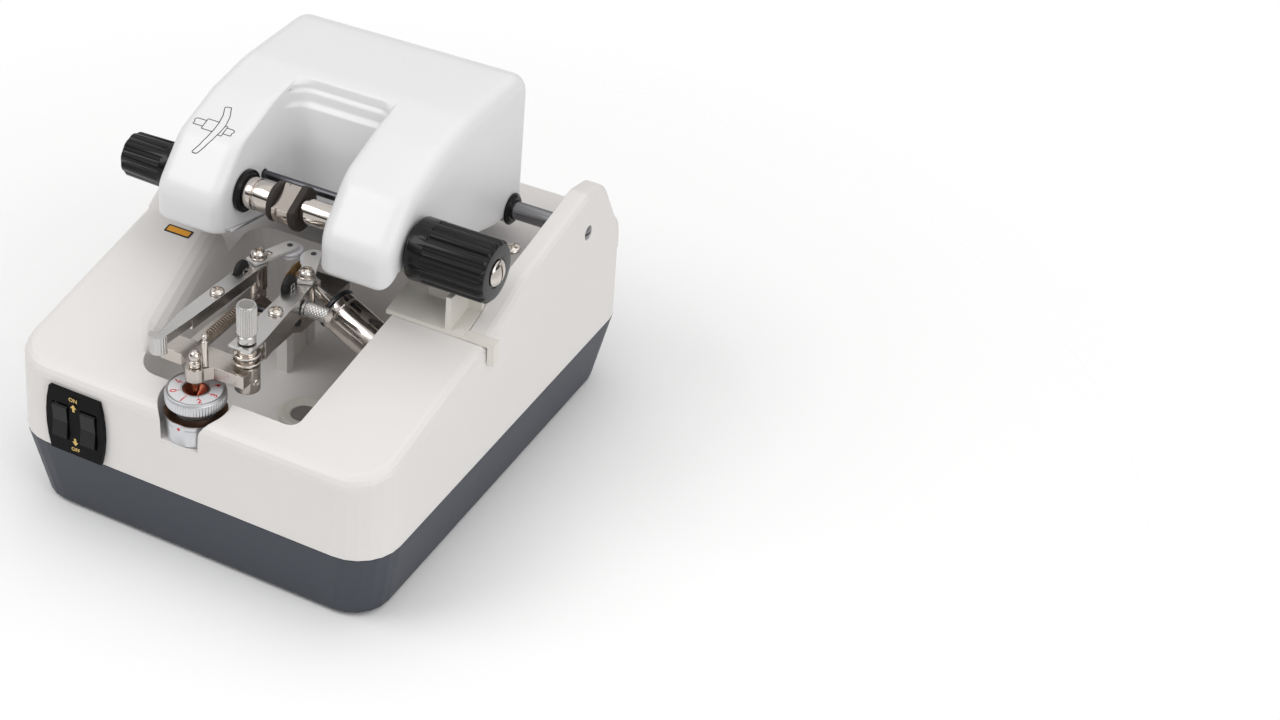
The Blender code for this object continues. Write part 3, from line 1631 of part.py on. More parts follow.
def return_spring():
    """The bronze extension spring, one unbroken tube."""
    points = spring_points()
    curve = bpy.data.curves.new("return_spring", "CURVE")
    curve.dimensions = "3D"
    curve.bevel_depth = SPRING_WIRE / 2
    curve.bevel_resolution = 1
    curve.use_fill_caps = True
    spline = curve.splines.new("POLY")
    spline.points.add(len(points) - 1)
    for point, place in zip(spline.points, points):
        point.co = (*place, 1.0)
    spring = new_object("return_spring", curve)
    gap = least_gap(points, SPRING_WIRE, SPRING_POINTS - 1)
    print(f"return_spring: least gap between its curls {gap * 1000:.2f} mm")
    spring = as_mesh(spring)
    return finish_piece(spring, BRONZE)


def tapered_bar(start, end, start_w, end_w):
    """The outline of a bar that tapers between two points and ends round at the second."""
    run = Vector(end) - Vector(start)
    side = Vector((run.y, -run.x)).normalized()
    turn = atan2(side.y, side.x)
    tip = arc(end, end_w / 2, turn, turn + pi, ARC_STEPS * 2)
    first, last = Vector(start) - side * start_w / 2, Vector(start) + side * start_w / 2
    return [first[:], last[:], *tip]


def left_guide_arm():
    """The left guide arm: a long channel from its grip to its pivot."""
    low, top = ARM_Z, ARM_Z + ARM_T
    half_front, half_bend, half_rear = LEFT_ARM_FRONT_W / 2, LEFT_ARM_BEND_W / 2, ARM_REAR_W / 2
    bend_x = LEFT_ARM_FRONT_X + GAP
    tip = arc((LEFT_PIVOT_X, LEFT_PIVOT_Y), ARM_EAR_R, 0.0, pi, ARC_STEPS * 2)
    outline = [
        (LEFT_ARM_FRONT_X - half_front, LEFT_ARM_FRONT_Y),
        (LEFT_ARM_FRONT_X + half_front, LEFT_ARM_FRONT_Y),
        (bend_x + half_bend, LEFT_ARM_BEND_Y),
        *tip,
        (bend_x - half_bend, LEFT_ARM_BEND_Y),
    ]
    arm = flat_plate("left_guide_arm", outline, low, top)
    inner = [
        (bend_x + half_bend, LEFT_ARM_BEND_Y),
        (LEFT_PIVOT_X + half_rear, LEFT_PIVOT_Y - ARM_EAR_R * 1.6),
        (LEFT_PIVOT_X + half_rear - ARM_T, LEFT_PIVOT_Y - ARM_EAR_R * 1.6),
        (bend_x + half_bend - ARM_T, LEFT_ARM_BEND_Y),
    ]
    flange = flat_plate("flange", inner, low - ARM_FLANGE + ARM_T, low + ARM_T / 2)
    front = [
        (LEFT_ARM_FRONT_X + half_front - ARM_T, LEFT_ARM_FRONT_Y),
        (LEFT_ARM_FRONT_X + half_front, LEFT_ARM_FRONT_Y),
        (bend_x + half_bend, LEFT_ARM_BEND_Y + ARM_T),
        (bend_x + half_bend - ARM_T, LEFT_ARM_BEND_Y + ARM_T),
    ]
    front_flange = flat_plate("front_flange", front, low - ARM_FLANGE / 2, low + ARM_T / 2)
    join(arm, flange, front_flange, guide_grip())
    cut(arm, rod(
        "arm_hole",
        (LEFT_PIVOT_X, LEFT_PIVOT_Y, low - OVERRUN),
        (LEFT_PIVOT_X, LEFT_PIVOT_Y, top + OVERRUN),
        PIVOT_PIN_R + GAP,
        SMALL,
    ))
    return finish_piece(fit_disc(arm, LEFT_DISC, (-1, 1)), STEEL)


def guide_grip():
    """The knurled half-round grip at the left arm's front end."""
    low = ARM_Z + ARM_T - GRIP_H * GRIP_DROP_SHARE
    y = LEFT_ARM_FRONT_Y + ARM_T
    grip = fluted(
        "guide_grip",
        [(low, GRIP_R, GRIP_RIB_DEPTH), (low + GRIP_H, GRIP_R, GRIP_RIB_DEPTH)],
        GRIP_RIBS,
        at(LEFT_ARM_FRONT_X, y, 0.0),
        steps=3,
    )
    return cut(grip, block(
        "grip_flat",
        (LEFT_ARM_FRONT_X - GRIP_R * 2, y, low - OVERRUN),
        (LEFT_ARM_FRONT_X + GRIP_R * 2, y + GRIP_R * 2, low + GRIP_H + OVERRUN),
    ))


def right_guide_arm():
    """The right guide arm: a square pad under the lock knob, a bar and an outer flange."""
    low, top = ARM_Z, ARM_Z + ARM_T
    pad = LOCK_PAD
    tip = arc((RIGHT_PIVOT_X, RIGHT_PIVOT_Y), ARM_EAR_R, 0.0, pi, ARC_STEPS * 2)
    outline = [
        (LOCK_X - pad, LOCK_Y - pad),
        (LOCK_X + pad, LOCK_Y - pad),
        (LOCK_X + pad, LOCK_Y + pad),
        *tip,
        (LOCK_X - pad, LOCK_Y + pad),
    ]
    arm = flat_plate("right_guide_arm", outline, low, top)
    outer = [
        (LOCK_X + pad - ARM_T, LOCK_Y + pad),
        (LOCK_X + pad, LOCK_Y + pad),
        (RIGHT_PIVOT_X + ARM_EAR_R, RIGHT_PIVOT_Y - ARM_EAR_R),
        (RIGHT_PIVOT_X + ARM_EAR_R - ARM_T, RIGHT_PIVOT_Y - ARM_EAR_R),
    ]
    flange = flat_plate("flange", outer, low - ARM_FLANGE * 1.5, low + ARM_T / 2)
    join(arm, flange)
    cut(
        arm,
        rod(
            "arm_hole",
            (RIGHT_PIVOT_X, RIGHT_PIVOT_Y, low - OVERRUN),
            (RIGHT_PIVOT_X, RIGHT_PIVOT_Y, top + OVERRUN),
            PIVOT_PIN_R + GAP,
            SMALL,
        ),
        rod(
            "stud_hole",
            (LOCK_X, LOCK_Y, low - OVERRUN),
            (LOCK_X, LOCK_Y, top + OVERRUN),
            LOCK_STUD_R + GAP,
            SMALL,
        ),
        rod(
            "thumb_hole",
            (thumb_x() - ARM_FLANGE, THUMB_Y, THUMB_Z),
            (thumb_x() + ARM_FLANGE, THUMB_Y, THUMB_Z),
            THUMB_SHANK_R + GAP,
            SMALL,
        ),
    )
    return finish_piece(fit_disc(arm, RIGHT_DISC, (1,)), STEEL)


def thumb_x():
    """Where the right arm's outer face is, at the thumb screw."""
    share = (THUMB_Y - LOCK_Y - LOCK_PAD) / (RIGHT_PIVOT_Y - ARM_EAR_R - LOCK_Y - LOCK_PAD)
    start, end = LOCK_X + LOCK_PAD, RIGHT_PIVOT_X + ARM_EAR_R
    return start + (end - start) * share


def tip_plates():
    """Two tip plates: each starts on an arm's pivot and carries a roller at its end."""
    low = ARM_Z + ARM_T + GAP
    places = {
        "left_tip_plate": ((LEFT_PIVOT_X, LEFT_PIVOT_Y), (LEFT_TIP_X, LEFT_TIP_Y)),
        "right_tip_plate": ((RIGHT_PIVOT_X, RIGHT_PIVOT_Y), (RIGHT_TIP_X, RIGHT_TIP_Y)),
    }
    for name, (pivot, end) in places.items():
        start = Vector(pivot) - (Vector(end) - Vector(pivot)).normalized() * ARM_EAR_R
        outline = tapered_bar(start, end, ARM_REAR_W, TIP_R * 2)
        tip = flat_plate(name, outline, low, low + TIP_T)
        cut(tip, rod(
            "tip_hole",
            (*pivot, low - OVERRUN),
            (*pivot, low + OVERRUN),
            PIVOT_PIN_R + GAP,
            SMALL,
        ))
        finish_piece(tip, STEEL)


def rollers():
    """Two nylon rollers under the tip plates, each turned with its own pin."""
    plate_low = ARM_Z + ARM_T + GAP
    high = plate_low - GAP
    low = high - ROLLER_T
    for name, (x, y) in {
        "left_roller": (LEFT_TIP_X, LEFT_TIP_Y),
        "right_roller": (RIGHT_TIP_X, RIGHT_TIP_Y),
    }.items():
        edge = ROLLER_T / 6
        profile = [
            (0.0, high),
            (ROLLER_R - edge, high),
            (ROLLER_R, high - edge),
            (ROLLER_R, low + edge),
            (ROLLER_R - edge, low),
            (0.0, low),
        ]
        finish_piece(turned(name, profile, at(x, y, 0.0), MEDIUM), NYLON)


def pivot_screws():
    """The two stacked screws on which the arms turn."""
    seat = ARM_Z + ARM_T + TIP_T + GAP * 2
    head_low = seat + PIVOT_HEAD_H / 3
    top = head_low + PIVOT_HEAD_H
    low = ARM_Z - GAP - ARM_FLANGE * 0.8
    dome = PIVOT_HEAD_H / 3
    for name, (x, y) in {
        "left_pivot_screw": (LEFT_PIVOT_X, LEFT_PIVOT_Y),
        "right_pivot_screw": (RIGHT_PIVOT_X, RIGHT_PIVOT_Y),
    }.items():
        screw = turned(
            name,
            [
                (0.0, top),
                (PIVOT_HEAD_R * 0.6, top - dome / 4),
                (PIVOT_HEAD_R, top - dome),
                (PIVOT_HEAD_R, head_low),
                (PIVOT_WASHER_R, head_low),
                (PIVOT_WASHER_R, seat),
                (PIVOT_PIN_R, seat),
                (PIVOT_PIN_R, low),
                (0.0, low),
            ],
            at(x, y, 0.0),
            SMALL,
        )
        cut(screw, block(
            "slot",
            (x - PIVOT_HEAD_R * 1.2, y - PIVOT_SLOT / 2, top - PIVOT_SLOT * 1.4),
            (x + PIVOT_HEAD_R * 1.2, y + PIVOT_SLOT / 2, top + OVERRUN),
        ))
        finish_piece(screw, CHROME)


def buffer_discs():
    """Two black discs that stand on edge in the arms, each on a short axle."""
    half, reach = DISC_T / 2, DISC_T / 2 + DISC_LUG
    edge = DISC_T / 6
    for name, place, left in (("left_disc", LEFT_DISC, -reach), ("right_disc", RIGHT_DISC, -half)):
        profile = [
            (0.0, reach),
            (DISC_AXLE_R, reach),
            (DISC_AXLE_R, half),
            (DISC_R - edge, half),
            (DISC_R, half - edge),
            (DISC_R, edge - half),
            (DISC_R - edge, -half),
        ]
        if left < -half:
            profile += [(DISC_AXLE_R, -half), (DISC_AXLE_R, left)]
        profile.append((0.0, left))
        finish_piece(turned(name, profile, along_x(*place), SMALL), RUBBER)


def fit_disc(arm, place, sides):
    """Cut the disc's slot in an arm and add the lugs that hold the disc's axle."""
    x, y, z = place
    half = DISC_T / 2 + GAP
    reach = DISC_R + GAP
    cut(arm, block("slot", (x - half, y - reach, z - reach), (x + half, y + reach, z + reach)))
    for side in sides:
        near, far = x + side * half, x + side * (half + DISC_LUG)
        width = DISC_AXLE_R * 2
        join(arm, block(
            "lug",
            (min(near, far), y - width, ARM_Z + ARM_T / 3),
            (max(near, far), y + width, z + width),
        ))
        cut(arm, rod(
            "axle_hole",
            (x + side * half / 2, y, z),
            (x + side * (half + DISC_LUG * 2), y, z),
            DISC_AXLE_R + GAP,
            SMALL,
        ))
    return arm


def lock_stud_low():
    """The lower end of the lock knob's stud, inside the lever's boss."""
    return ARM_Z + ARM_T + GAP - LOCK_STUD_L


def lock_knob():
    """The fluted knob that locks the right arm to the lever."""
    low = ARM_Z + ARM_T + GAP
    top = low + LOCK_KNOB_H
    edge = LOCK_KNOB_FLUTE * 2
    knob = fluted(
        "lock_knob",
        [
            (low, LOCK_NECK_R, 0.0),
            (low + LOCK_NECK_H, LOCK_NECK_R, 0.0),
            (low + LOCK_NECK_H, LOCK_KNOB_R - edge, 0.0),
            (low + LOCK_NECK_H + edge, LOCK_KNOB_R, LOCK_KNOB_FLUTE),
            (top - edge, LOCK_KNOB_R, LOCK_KNOB_FLUTE),
            (top, LOCK_KNOB_R - edge, 0.0),
        ],
        LOCK_KNOB_FLUTES,
        at(LOCK_X, LOCK_Y, 0.0),
        steps=4,
    )
    stud = rod(
        "stud",
        (LOCK_X, LOCK_Y, lock_stud_low()),
        (LOCK_X, LOCK_Y, low + LOCK_KNOB_H / 4),
        LOCK_STUD_R,
        SMALL,
    )
    return finish_piece(join(knob, stud), STEEL)


def lock_washers():
    """The black ring and the wavy washer under the right arm."""
    base = CROSSBAR_Z + CROSSBAR_T + GAP
    bore = LOCK_STUD_R + GAP
    black = ring("lock_ring", LOCK_RING_R, bore, base, base + LOCK_RING_T, at(LOCK_X, LOCK_Y, 0.0))
    finish_piece(black, RUBBER)
    low, high = base + LOCK_RING_T + GAP, ARM_Z - GAP
    third = (high - low) / 3
    radius = LOCK_WASHER_R
    waist = radius * 0.78
    profile = [
        (waist, high),
        (radius * 0.9, high - third / 2),
        (waist, high - third),
        (radius, high - third * 1.5),
        (waist, high - third * 2),
        (radius, low + third / 2),
        (radius, low),
        (bore, low),
        (bore, high),
    ]
    washer = turned("lock_washer", profile, at(LOCK_X, LOCK_Y, 0.0), MEDIUM, closed=True)
    finish_piece(washer, CHROME)


def thumb_screw():
    """The knurled screw through the right arm's flange."""
    start = thumb_x() + GAP * 3
    screw = fluted(
        "thumb_screw",
        [
            (THUMB_FLANGE_T / 2, THUMB_R, GRIP_RIB_DEPTH),
            (THUMB_L - GRIP_RIB_DEPTH, THUMB_R, GRIP_RIB_DEPTH),
            (THUMB_L, THUMB_R - GRIP_RIB_DEPTH, 0.0),
        ],
        THUMB_RIBS,
        along_x(start, THUMB_Y, THUMB_Z),
        steps=3,
    )
    flange = rod(
        "thumb_flange",
        (start, THUMB_Y, THUMB_Z),
        (start + THUMB_FLANGE_T, THUMB_Y, THUMB_Z),
        THUMB_FLANGE_R,
    )
    shank = rod(
        "thumb_shank",
        (start - THUMB_SHANK_L, THUMB_Y, THUMB_Z),
        (start + THUMB_FLANGE_T / 2, THUMB_Y, THUMB_Z),
        THUMB_SHANK_R,
        SMALL,
    )
    return finish_piece(join(screw, flange, shank), STEEL)


# Grooving wheel and its motor

def grooving_wheel():
    """The thin wheel, thickest near its hub."""
    half = WHEEL_T / 2
    bore = SPINDLE_R + GAP
    wheel = turned(
        "grooving_wheel",
        [
            (HUB_R, half * 2),
            (WHEEL_R - WHEEL_T, half),
            (WHEEL_R, half / 2),
            (WHEEL_R, -half / 2),
            (WHEEL_R - WHEEL_T, -half),
            (HUB_R, -half * 2),
            (bore, -half * 2),
            (bore, half * 2),
        ],
        on_motor_place(0.0),
        FINE,
        closed=True,
    )
    return finish_piece(wheel, WHEEL_METAL)


def wheel_spindle():
    """The spindle that carries the wheel: a nut, the seat, a wide hub and the motor's shaft."""
    half = WHEEL_T + GAP
    nut_r = HUB_R * 0.85
    nut_l = WHEEL_T * 3
    spindle = turned(
        "wheel_spindle",
        [
            (0.0, MOTOR_RING_AT + MOTOR_RING_T - GAP),
            (SPINDLE_R, MOTOR_RING_AT + MOTOR_RING_T - GAP),
            (SPINDLE_R, half + HUB_L),
            (HUB_R, half + HUB_L),
            (HUB_R, half),
            (SPINDLE_R, half),
            (SPINDLE_R, -half),
            (nut_r, -half),
            (nut_r, -half - nut_l),
            (0.0, -half - nut_l),
        ],
        on_motor_place(0.0),
        SMALL,
    )
    return finish_piece(spindle, CHROME)


def groover_motor():
    """The chromed motor tube that comes out of the tray's right wall, with a cooling slot."""
    start = MOTOR_RING_AT + MOTOR_RING_T + GAP
    end = start + MOTOR_L
    edge = MOTOR_CAP_L / 4
    motor = turned(
        "groover_motor",
        [
            (0.0, end),
            (MOTOR_R - edge, end),
            (MOTOR_R, end - edge),
            (MOTOR_R, start),
            (0.0, start),
        ],
        on_motor_place(0.0),
        FINE,
    )
    return finish_piece(motor, CHROME)


def motor_ring():
    """The dark ring on the motor's front end."""
    low = MOTOR_RING_AT
    made = ring(
        "motor_ring",
        MOTOR_RING_R,
        SPINDLE_R + GAP,
        low,
        low + MOTOR_RING_T,
        on_motor_place(0.0),
        FINE,
    )
    return finish_piece(made, DARK_STEEL)


def motor_cradle():
    """The bracket that holds the motor up from the pan's floor, under the right deck."""
    centre = on_motor(CRADLE_AT)
    low = FOOT_H + WALL + GAP
    half_t, half_w = CRADLE_T / 2, CRADLE_W / 2
    cradle = block(
        "motor_cradle",
        (centre.x - half_t, centre.y - half_w, low),
        (centre.x + half_t, centre.y + half_w, centre.z + MOTOR_R / 3),
    )
    cut(
        cradle,
        rod("motor_seat", on_motor(CRADLE_AT - MOTOR_L / 3), on_motor(CRADLE_AT + MOTOR_L / 3), MOTOR_R + GAP, FINE),
    )
    return finish_piece(cradle, NICKEL)


# Hinge and head

def hinge_shaft():
    """The dark shaft between the ears, drilled at both ends for its screws."""
    reach = CASE_W / 2 - EAR_T + HINGE_SEAT - GAP
    shaft = rod("hinge_shaft", (-reach, HINGE_Y, HINGE_Z), (reach, HINGE_Y, HINGE_Z), HINGE_R)
    for side in (-1, 1):
        cut(shaft, rod(
            "tapping",
            (side * (reach - EAR_SCREW_SHANK_L), HINGE_Y, HINGE_Z),
            (side * (reach + OVERRUN), HINGE_Y, HINGE_Z),
            EAR_SCREW_SHANK_R + GAP,
            SMALL,
        ))
    return finish_piece(shaft, DARK_STEEL)


def ear_screws():
    """The slotted screws in the ears' outer faces, which hold the hinge shaft."""
    face = ear_face_x()
    seat = face - EAR_SCREW_SINK + GAP
    for name, side in (("left_ear_screw", -1), ("right_ear_screw", 1)):
        place = at(side * seat, HINGE_Y, HINGE_Z) @ Matrix.Rotation(side * pi / 2, 4, "Y")
        dome = EAR_SCREW_DOME
        screw = turned(
            name,
            [
                (0.0, dome),
                (EAR_SCREW_R * 0.55, dome * 0.85),
                (EAR_SCREW_R * 0.9, dome * 0.45),
                (EAR_SCREW_R, 0.0),
                (EAR_SCREW_SHANK_R, 0.0),
                (EAR_SCREW_SHANK_R, -EAR_SCREW_SHANK_L),
                (0.0, -EAR_SCREW_SHANK_L),
            ],
            place,
            SMALL,
        )
        inner = seat + dome - EAR_SCREW_SLOT
        outer = seat + dome + OVERRUN
        cut(screw, block(
            "slot",
            (min(side * inner, side * outer), HINGE_Y - EAR_SCREW_R * 1.2, HINGE_Z - EAR_SCREW_SLOT / 2),
            (max(side * inner, side * outer), HINGE_Y + EAR_SCREW_R * 1.2, HINGE_Z + EAR_SCREW_SLOT / 2),
        ))
        finish_piece(screw, CHROME)


def hinge_bushes():
    """The black flanged bushes beside the head, which slide along the shaft with it."""
    for name, start, side in (
        ("left_hinge_bush", HEAD_LEFT_X - GAP, -1),
        ("right_hinge_bush", HEAD_RIGHT_X + GAP, 1),
    ):
        place = at(start, HINGE_Y, HINGE_Z) @ Matrix.Rotation(side * pi / 2, 4, "Y")
        bush = ring(name, HINGE_BUSH_R, HINGE_R + GAP, 0.0, HINGE_BUSH_L, place)
        finish_piece(bush, BLACK)


def head_corners():
    """The corners of the head's side outline, from its chin over the top to its sole."""
    small = HEAD_ROUND / 2
    return (
        (HEAD_FRONT_Y, HEAD_CHIN_Z, small),
        (HEAD_FRONT_Y, HEAD_NOSE_Z, HEAD_ROUND),
        (HEAD_CHEEK_Y, HEAD_CHEEK_Z, HEAD_ROUND * 2),
        (HEAD_BROW_Y, HEAD_BROW_Z, HEAD_ROUND * 2),
        (HEAD_TOP_Y, HEAD_TOP_Z, HEAD_ROUND * 2),
        (HEAD_REAR_Y, HEAD_TOP_Z, HEAD_ROUND),
        (HEAD_REAR_Y, HEAD_SOLE_Z, small),
        (HEAD_SOLE_Y, HEAD_SOLE_Z, small),
        (HEAD_CHIN_Y, HEAD_CHIN_Z, small),
    )


def recess_outline(grow=0.0):
    """The recess between the arms, seen from the side and open to the front."""
    front = HEAD_FRONT_Y - OVERRUN * 2
    low, high = HEAD_SOLE_Z - OVERRUN * 2, HEAD_TOP_Z + OVERRUN
    return [
        (front, low),
        (RECESS_FOOT_Y + grow, low),
        (RECESS_FOOT_Y + grow, RECESS_FOOT_Z),
        (RECESS_TOP_Y + grow, HEAD_BROW_Z),
        (RECESS_TOP_Y + grow, high),
        (front, high),
    ]


def head_cover():
    """The white cover of the head: a shell open below, with two arms and holes for the shafts."""
    cover = pillow("head_cover", head_corners(), HEAD_LEFT_X, HEAD_RIGHT_X, HEAD_EDGE_R)
    cut(cover, side_plate("recess", recess_outline(), RECESS_LEFT_X, RECESS_RIGHT_X))
    room = pillow(
        "head_room",
        inset(head_corners(), HEAD_WALL),
        HEAD_LEFT_X + HEAD_WALL,
        HEAD_RIGHT_X - HEAD_WALL,
        HEAD_EDGE_R - HEAD_WALL,
        2,
    )
    wall = HEAD_WALL + GAP
    under = [
        (HEAD_FRONT_Y + wall, HEAD_CHIN_Z + HEAD_WALL * 2),
        (HEAD_CHIN_Y, HEAD_CHIN_Z + HEAD_WALL * 2),
        (HEAD_SOLE_Y, HEAD_SOLE_Z + HEAD_WALL * 2),
        (HEAD_REAR_Y - wall, HEAD_SOLE_Z + HEAD_WALL * 2),
        (HEAD_REAR_Y - wall, HEAD_SOLE_Z - OVERRUN),
        (HEAD_FRONT_Y + wall, HEAD_SOLE_Z - OVERRUN),
    ]
    join(room, side_plate("open_sole", under, HEAD_LEFT_X + wall, HEAD_RIGHT_X - wall))
    cut(room, side_plate(
        "recess_wall",
        recess_outline(HEAD_WALL),
        RECESS_LEFT_X - HEAD_WALL,
        RECESS_RIGHT_X + HEAD_WALL,
    ))
    cut(cover, room)
    reach = OVERRUN * 2
    holes = (
        ("hinge", HINGE_Y, HINGE_Z, FRAME_TUBE_R + GAP, HEAD_LEFT_X - reach, HEAD_RIGHT_X + reach),
        ("chuck", CHUCK_Y, CHUCK_Z, SHAFT_R + GAP * 2, HEAD_LEFT_X - reach, HEAD_RIGHT_X + reach),
        ("sync", SYNC_Y, SYNC_Z, SYNC_R + GAP * 2, RECESS_LEFT_X - reach, RECESS_RIGHT_X + reach),
    )
    for name, y, z, radius, left, right in holes:
        cut(cover, rod(name, (left, y, z), (right, y, z), radius))
    return finish_piece(cover, WHITE)


def head_frame():
    """The frame inside the head: two side plates, a cross bar and the tube on the hinge shaft."""
    edge = FRAME_EDGE
    outline = rounded((
        (CHUCK_Y - edge, CHUCK_Z - edge, edge / 2),
        (SYNC_Y, CHUCK_Z - edge * 2, edge / 2),
        (FRAME_BAR_Y - edge, HINGE_Z - edge / 4, edge / 2),
        (HINGE_Y + edge * 0.9, HINGE_Z - edge * 0.6, edge / 2),
        (HINGE_Y + edge * 0.9, HINGE_Z + edge * 2, edge / 2),
        (SYNC_Y + edge, SYNC_Z + edge, edge / 2),
        (CHUCK_Y - edge, CHUCK_Z + edge, edge / 2),
    ), 3)
    frame = side_plate("head_frame", outline, FRAME_LEFT_X, FRAME_LEFT_X + FRAME_T)
    other = side_plate("frame_right", outline, FRAME_RIGHT_X, FRAME_RIGHT_X + FRAME_T)
    bar = block(
        "frame_bar",
        (FRAME_LEFT_X + FRAME_T / 2, FRAME_BAR_Y - FRAME_BAR / 2, FRAME_BAR_Z - FRAME_BAR / 2),
        (FRAME_RIGHT_X + FRAME_T / 2, FRAME_BAR_Y + FRAME_BAR / 2, FRAME_BAR_Z + FRAME_BAR / 2),
    )
    tube = rod(
        "frame_tube",
        (HEAD_LEFT_X + GAP, HINGE_Y, HINGE_Z),
        (HEAD_RIGHT_X - GAP, HINGE_Y, HINGE_Z),
        FRAME_TUBE_R,
    )
    join(frame, bar, tube, other)
    reach = OVERRUN * 2
    left, right = FRAME_LEFT_X - reach, FRAME_RIGHT_X + FRAME_T + reach
    cut(
        frame,
        rod("hinge_bore", (HEAD_LEFT_X - reach, HINGE_Y, HINGE_Z), (HEAD_RIGHT_X + reach, HINGE_Y, HINGE_Z), HINGE_R + GAP),
        rod("chuck_bore", (left, CHUCK_Y, CHUCK_Z), (right, CHUCK_Y, CHUCK_Z), SHAFT_R + GAP),
        rod("sync_bore", (left, SYNC_Y, SYNC_Z), (right, SYNC_Y, SYNC_Z), SYNC_R + GAP, SMALL),
        rod(
            "pinion_bore",
            (left, pinion_y(), SYNC_Z),
            (FRAME_LEFT_X + reach, pinion_y(), SYNC_Z),
            PINION_SHAFT_R + GAP,
            SMALL,
        ),
    )
    return finish_piece(frame, ALUMINIUM)


# Drive and chuck in the head

def pinion_y():
    """The motor pinion's axis, one centre distance behind the sync shaft."""
    return SYNC_Y + TOOTH_MODULE * (SYNC_TEETH + PINION_TEETH) / 2


def sync_phase():
    """The turn of the sync gears that puts a gap where the chuck gear has a tooth."""
    return pi + pi / SYNC_TEETH


def can_motor():
    """The flat can motor on the frame's left plate, its shaft set off its middle."""
    high = FRAME_LEFT_X - GAP
    motor = turned(
        "lens_motor",
        [
            (0.0, CAN_L),
            (CAN_R - GAP * 4, CAN_L),
            (CAN_R, CAN_L - GAP * 4),
            (CAN_R, GAP * 4),
            (CAN_R - GAP * 4, 0.0),
            (0.0, 0.0),
        ],
        along_x(high - CAN_L, pinion_y() + CAN_OFFSET, SYNC_Z),
        MEDIUM,
    )
    return finish_piece(motor, STEEL)


def motor_pinion():
    """The pinion on the can motor's shaft."""
    y = pinion_y()
    start = GEAR_X
    low = FRAME_LEFT_X
    phase = pi + pi / PINION_TEETH + sync_phase_at_pinion()
    made = gear("motor_pinion", PINION_TEETH, phase, start, start + GEAR_T, y, SYNC_Z)
    shaft = rod("pinion_shaft", (low, y, SYNC_Z), (start + GEAR_T / 2, y, SYNC_Z), PINION_SHAFT_R, SMALL)
    return finish_piece(join(made, shaft), STEEL)


def sync_phase_at_pinion():
    """How far a sync tooth is from pointing straight at the pinion, in pinion turns."""
    step = tau / SYNC_TEETH
    offset = sync_phase() % step
    return -offset * SYNC_TEETH / PINION_TEETH


def sync_shaft():
    """The shaft behind the chuck that keeps both sides in step, with its two gears."""
    left = FRAME_LEFT_X - GAP
    right = FRAME_RIGHT_X + FRAME_T
    shaft = rod("sync_shaft", (left, SYNC_Y, SYNC_Z), (right, SYNC_Y, SYNC_Z), SYNC_R, SMALL)
    phase = sync_phase()
    edge = GAP
    near = gear("near_gear", SYNC_TEETH, phase, GEAR_X - edge, GEAR_X + GEAR_T + edge, SYNC_Y, SYNC_Z)
    long_right = FRAME_RIGHT_X - GAP * 2
    far = gear("far_gear", SYNC_TEETH, phase, RIGHT_GEAR_X - GAP * 4, long_right, SYNC_Y, SYNC_Z)
    return finish_piece(join(shaft, near, far), STEEL)


def chuck_bush():
    """The black ring on the left arm's inner face, round the chuck's sleeve."""
    start = RECESS_LEFT_X + GAP
    made = ring(
        "left_chuck_bush",
        CHUCK_BUSH_R,
        SHAFT_R + GAP,
        0.0,
        CHUCK_BUSH_L,
        along_x(start, CHUCK_Y, CHUCK_Z),
    )
    return finish_piece(made, BLACK)


def chuck_shaft():
    """The left chuck shaft: journal, gear, collar, grooved sleeve and spigot."""
    start = HEAD_LEFT_X - GAP
    collar = RECESS_LEFT_X + GAP * 2 + CHUCK_BUSH_L
    groove = SLEEVE_GROOVE_X
    shaft = turned(
        "chuck_shaft",
        [
            (0.0, SPIGOT_END_X),
            (SPIGOT_R, SPIGOT_END_X),
            (SPIGOT_R, SLEEVE_END_X),
            (SLEEVE_R, SLEEVE_END_X),
            (SLEEVE_R, groove + SLEEVE_GROOVE_W),
            (SLEEVE_GROOVE_R, groove + SLEEVE_GROOVE_W),
            (SLEEVE_GROOVE_R, groove),
            (SLEEVE_COLLAR_R, groove),
            (SLEEVE_COLLAR_R, collar),
            (SHAFT_R, collar),
            (SHAFT_R, start),
            (0.0, start),
        ],
        along_x(0.0, CHUCK_Y, CHUCK_Z),
        MEDIUM,
    )
    wheel = gear("chuck_gear", CHUCK_TEETH, 0.0, GEAR_X, GEAR_X + GEAR_T, CHUCK_Y, CHUCK_Z)
    return finish_piece(join(shaft, wheel), CHROME)


def cushion_ring():
    """The rubber ring behind the clamp head."""
    made = ring(
        "cushion_ring",
        CUSHION_R,
        SPIGOT_R + GAP,
        0.0,
        CUSHION_T,
        along_x(CUSHION_X, CHUCK_Y, CHUCK_Z),
    )
    return finish_piece(made, RUBBER)


def clamp_head():
    """The clamp head on the spigot: round, with a flat across its top."""
    head = ring(
        "clamp_head",
        CLAMP_HEAD_R,
        SPIGOT_R + GAP,
        0.0,
        CLAMP_HEAD_T,
        along_x(CLAMP_HEAD_X, CHUCK_Y, CHUCK_Z),
    )
    flat = CLAMP_HEAD_R * CLAMP_FLAT_SHARE
    trim = block(
        "flat",
        (-CLAMP_HEAD_R, -CLAMP_HEAD_R * 2, flat),
        (CLAMP_HEAD_T * 2, CLAMP_HEAD_R * 2, CLAMP_HEAD_R * 2),
    )
    centre = trim.location.copy()
    turn = Matrix.Rotation(radians(28), 4, "X")
    trim.matrix_world = at(CLAMP_HEAD_X, CHUCK_Y, CHUCK_Z) @ turn @ Matrix.Translation(centre)
    return finish_piece(cut(head, trim), NICKEL)


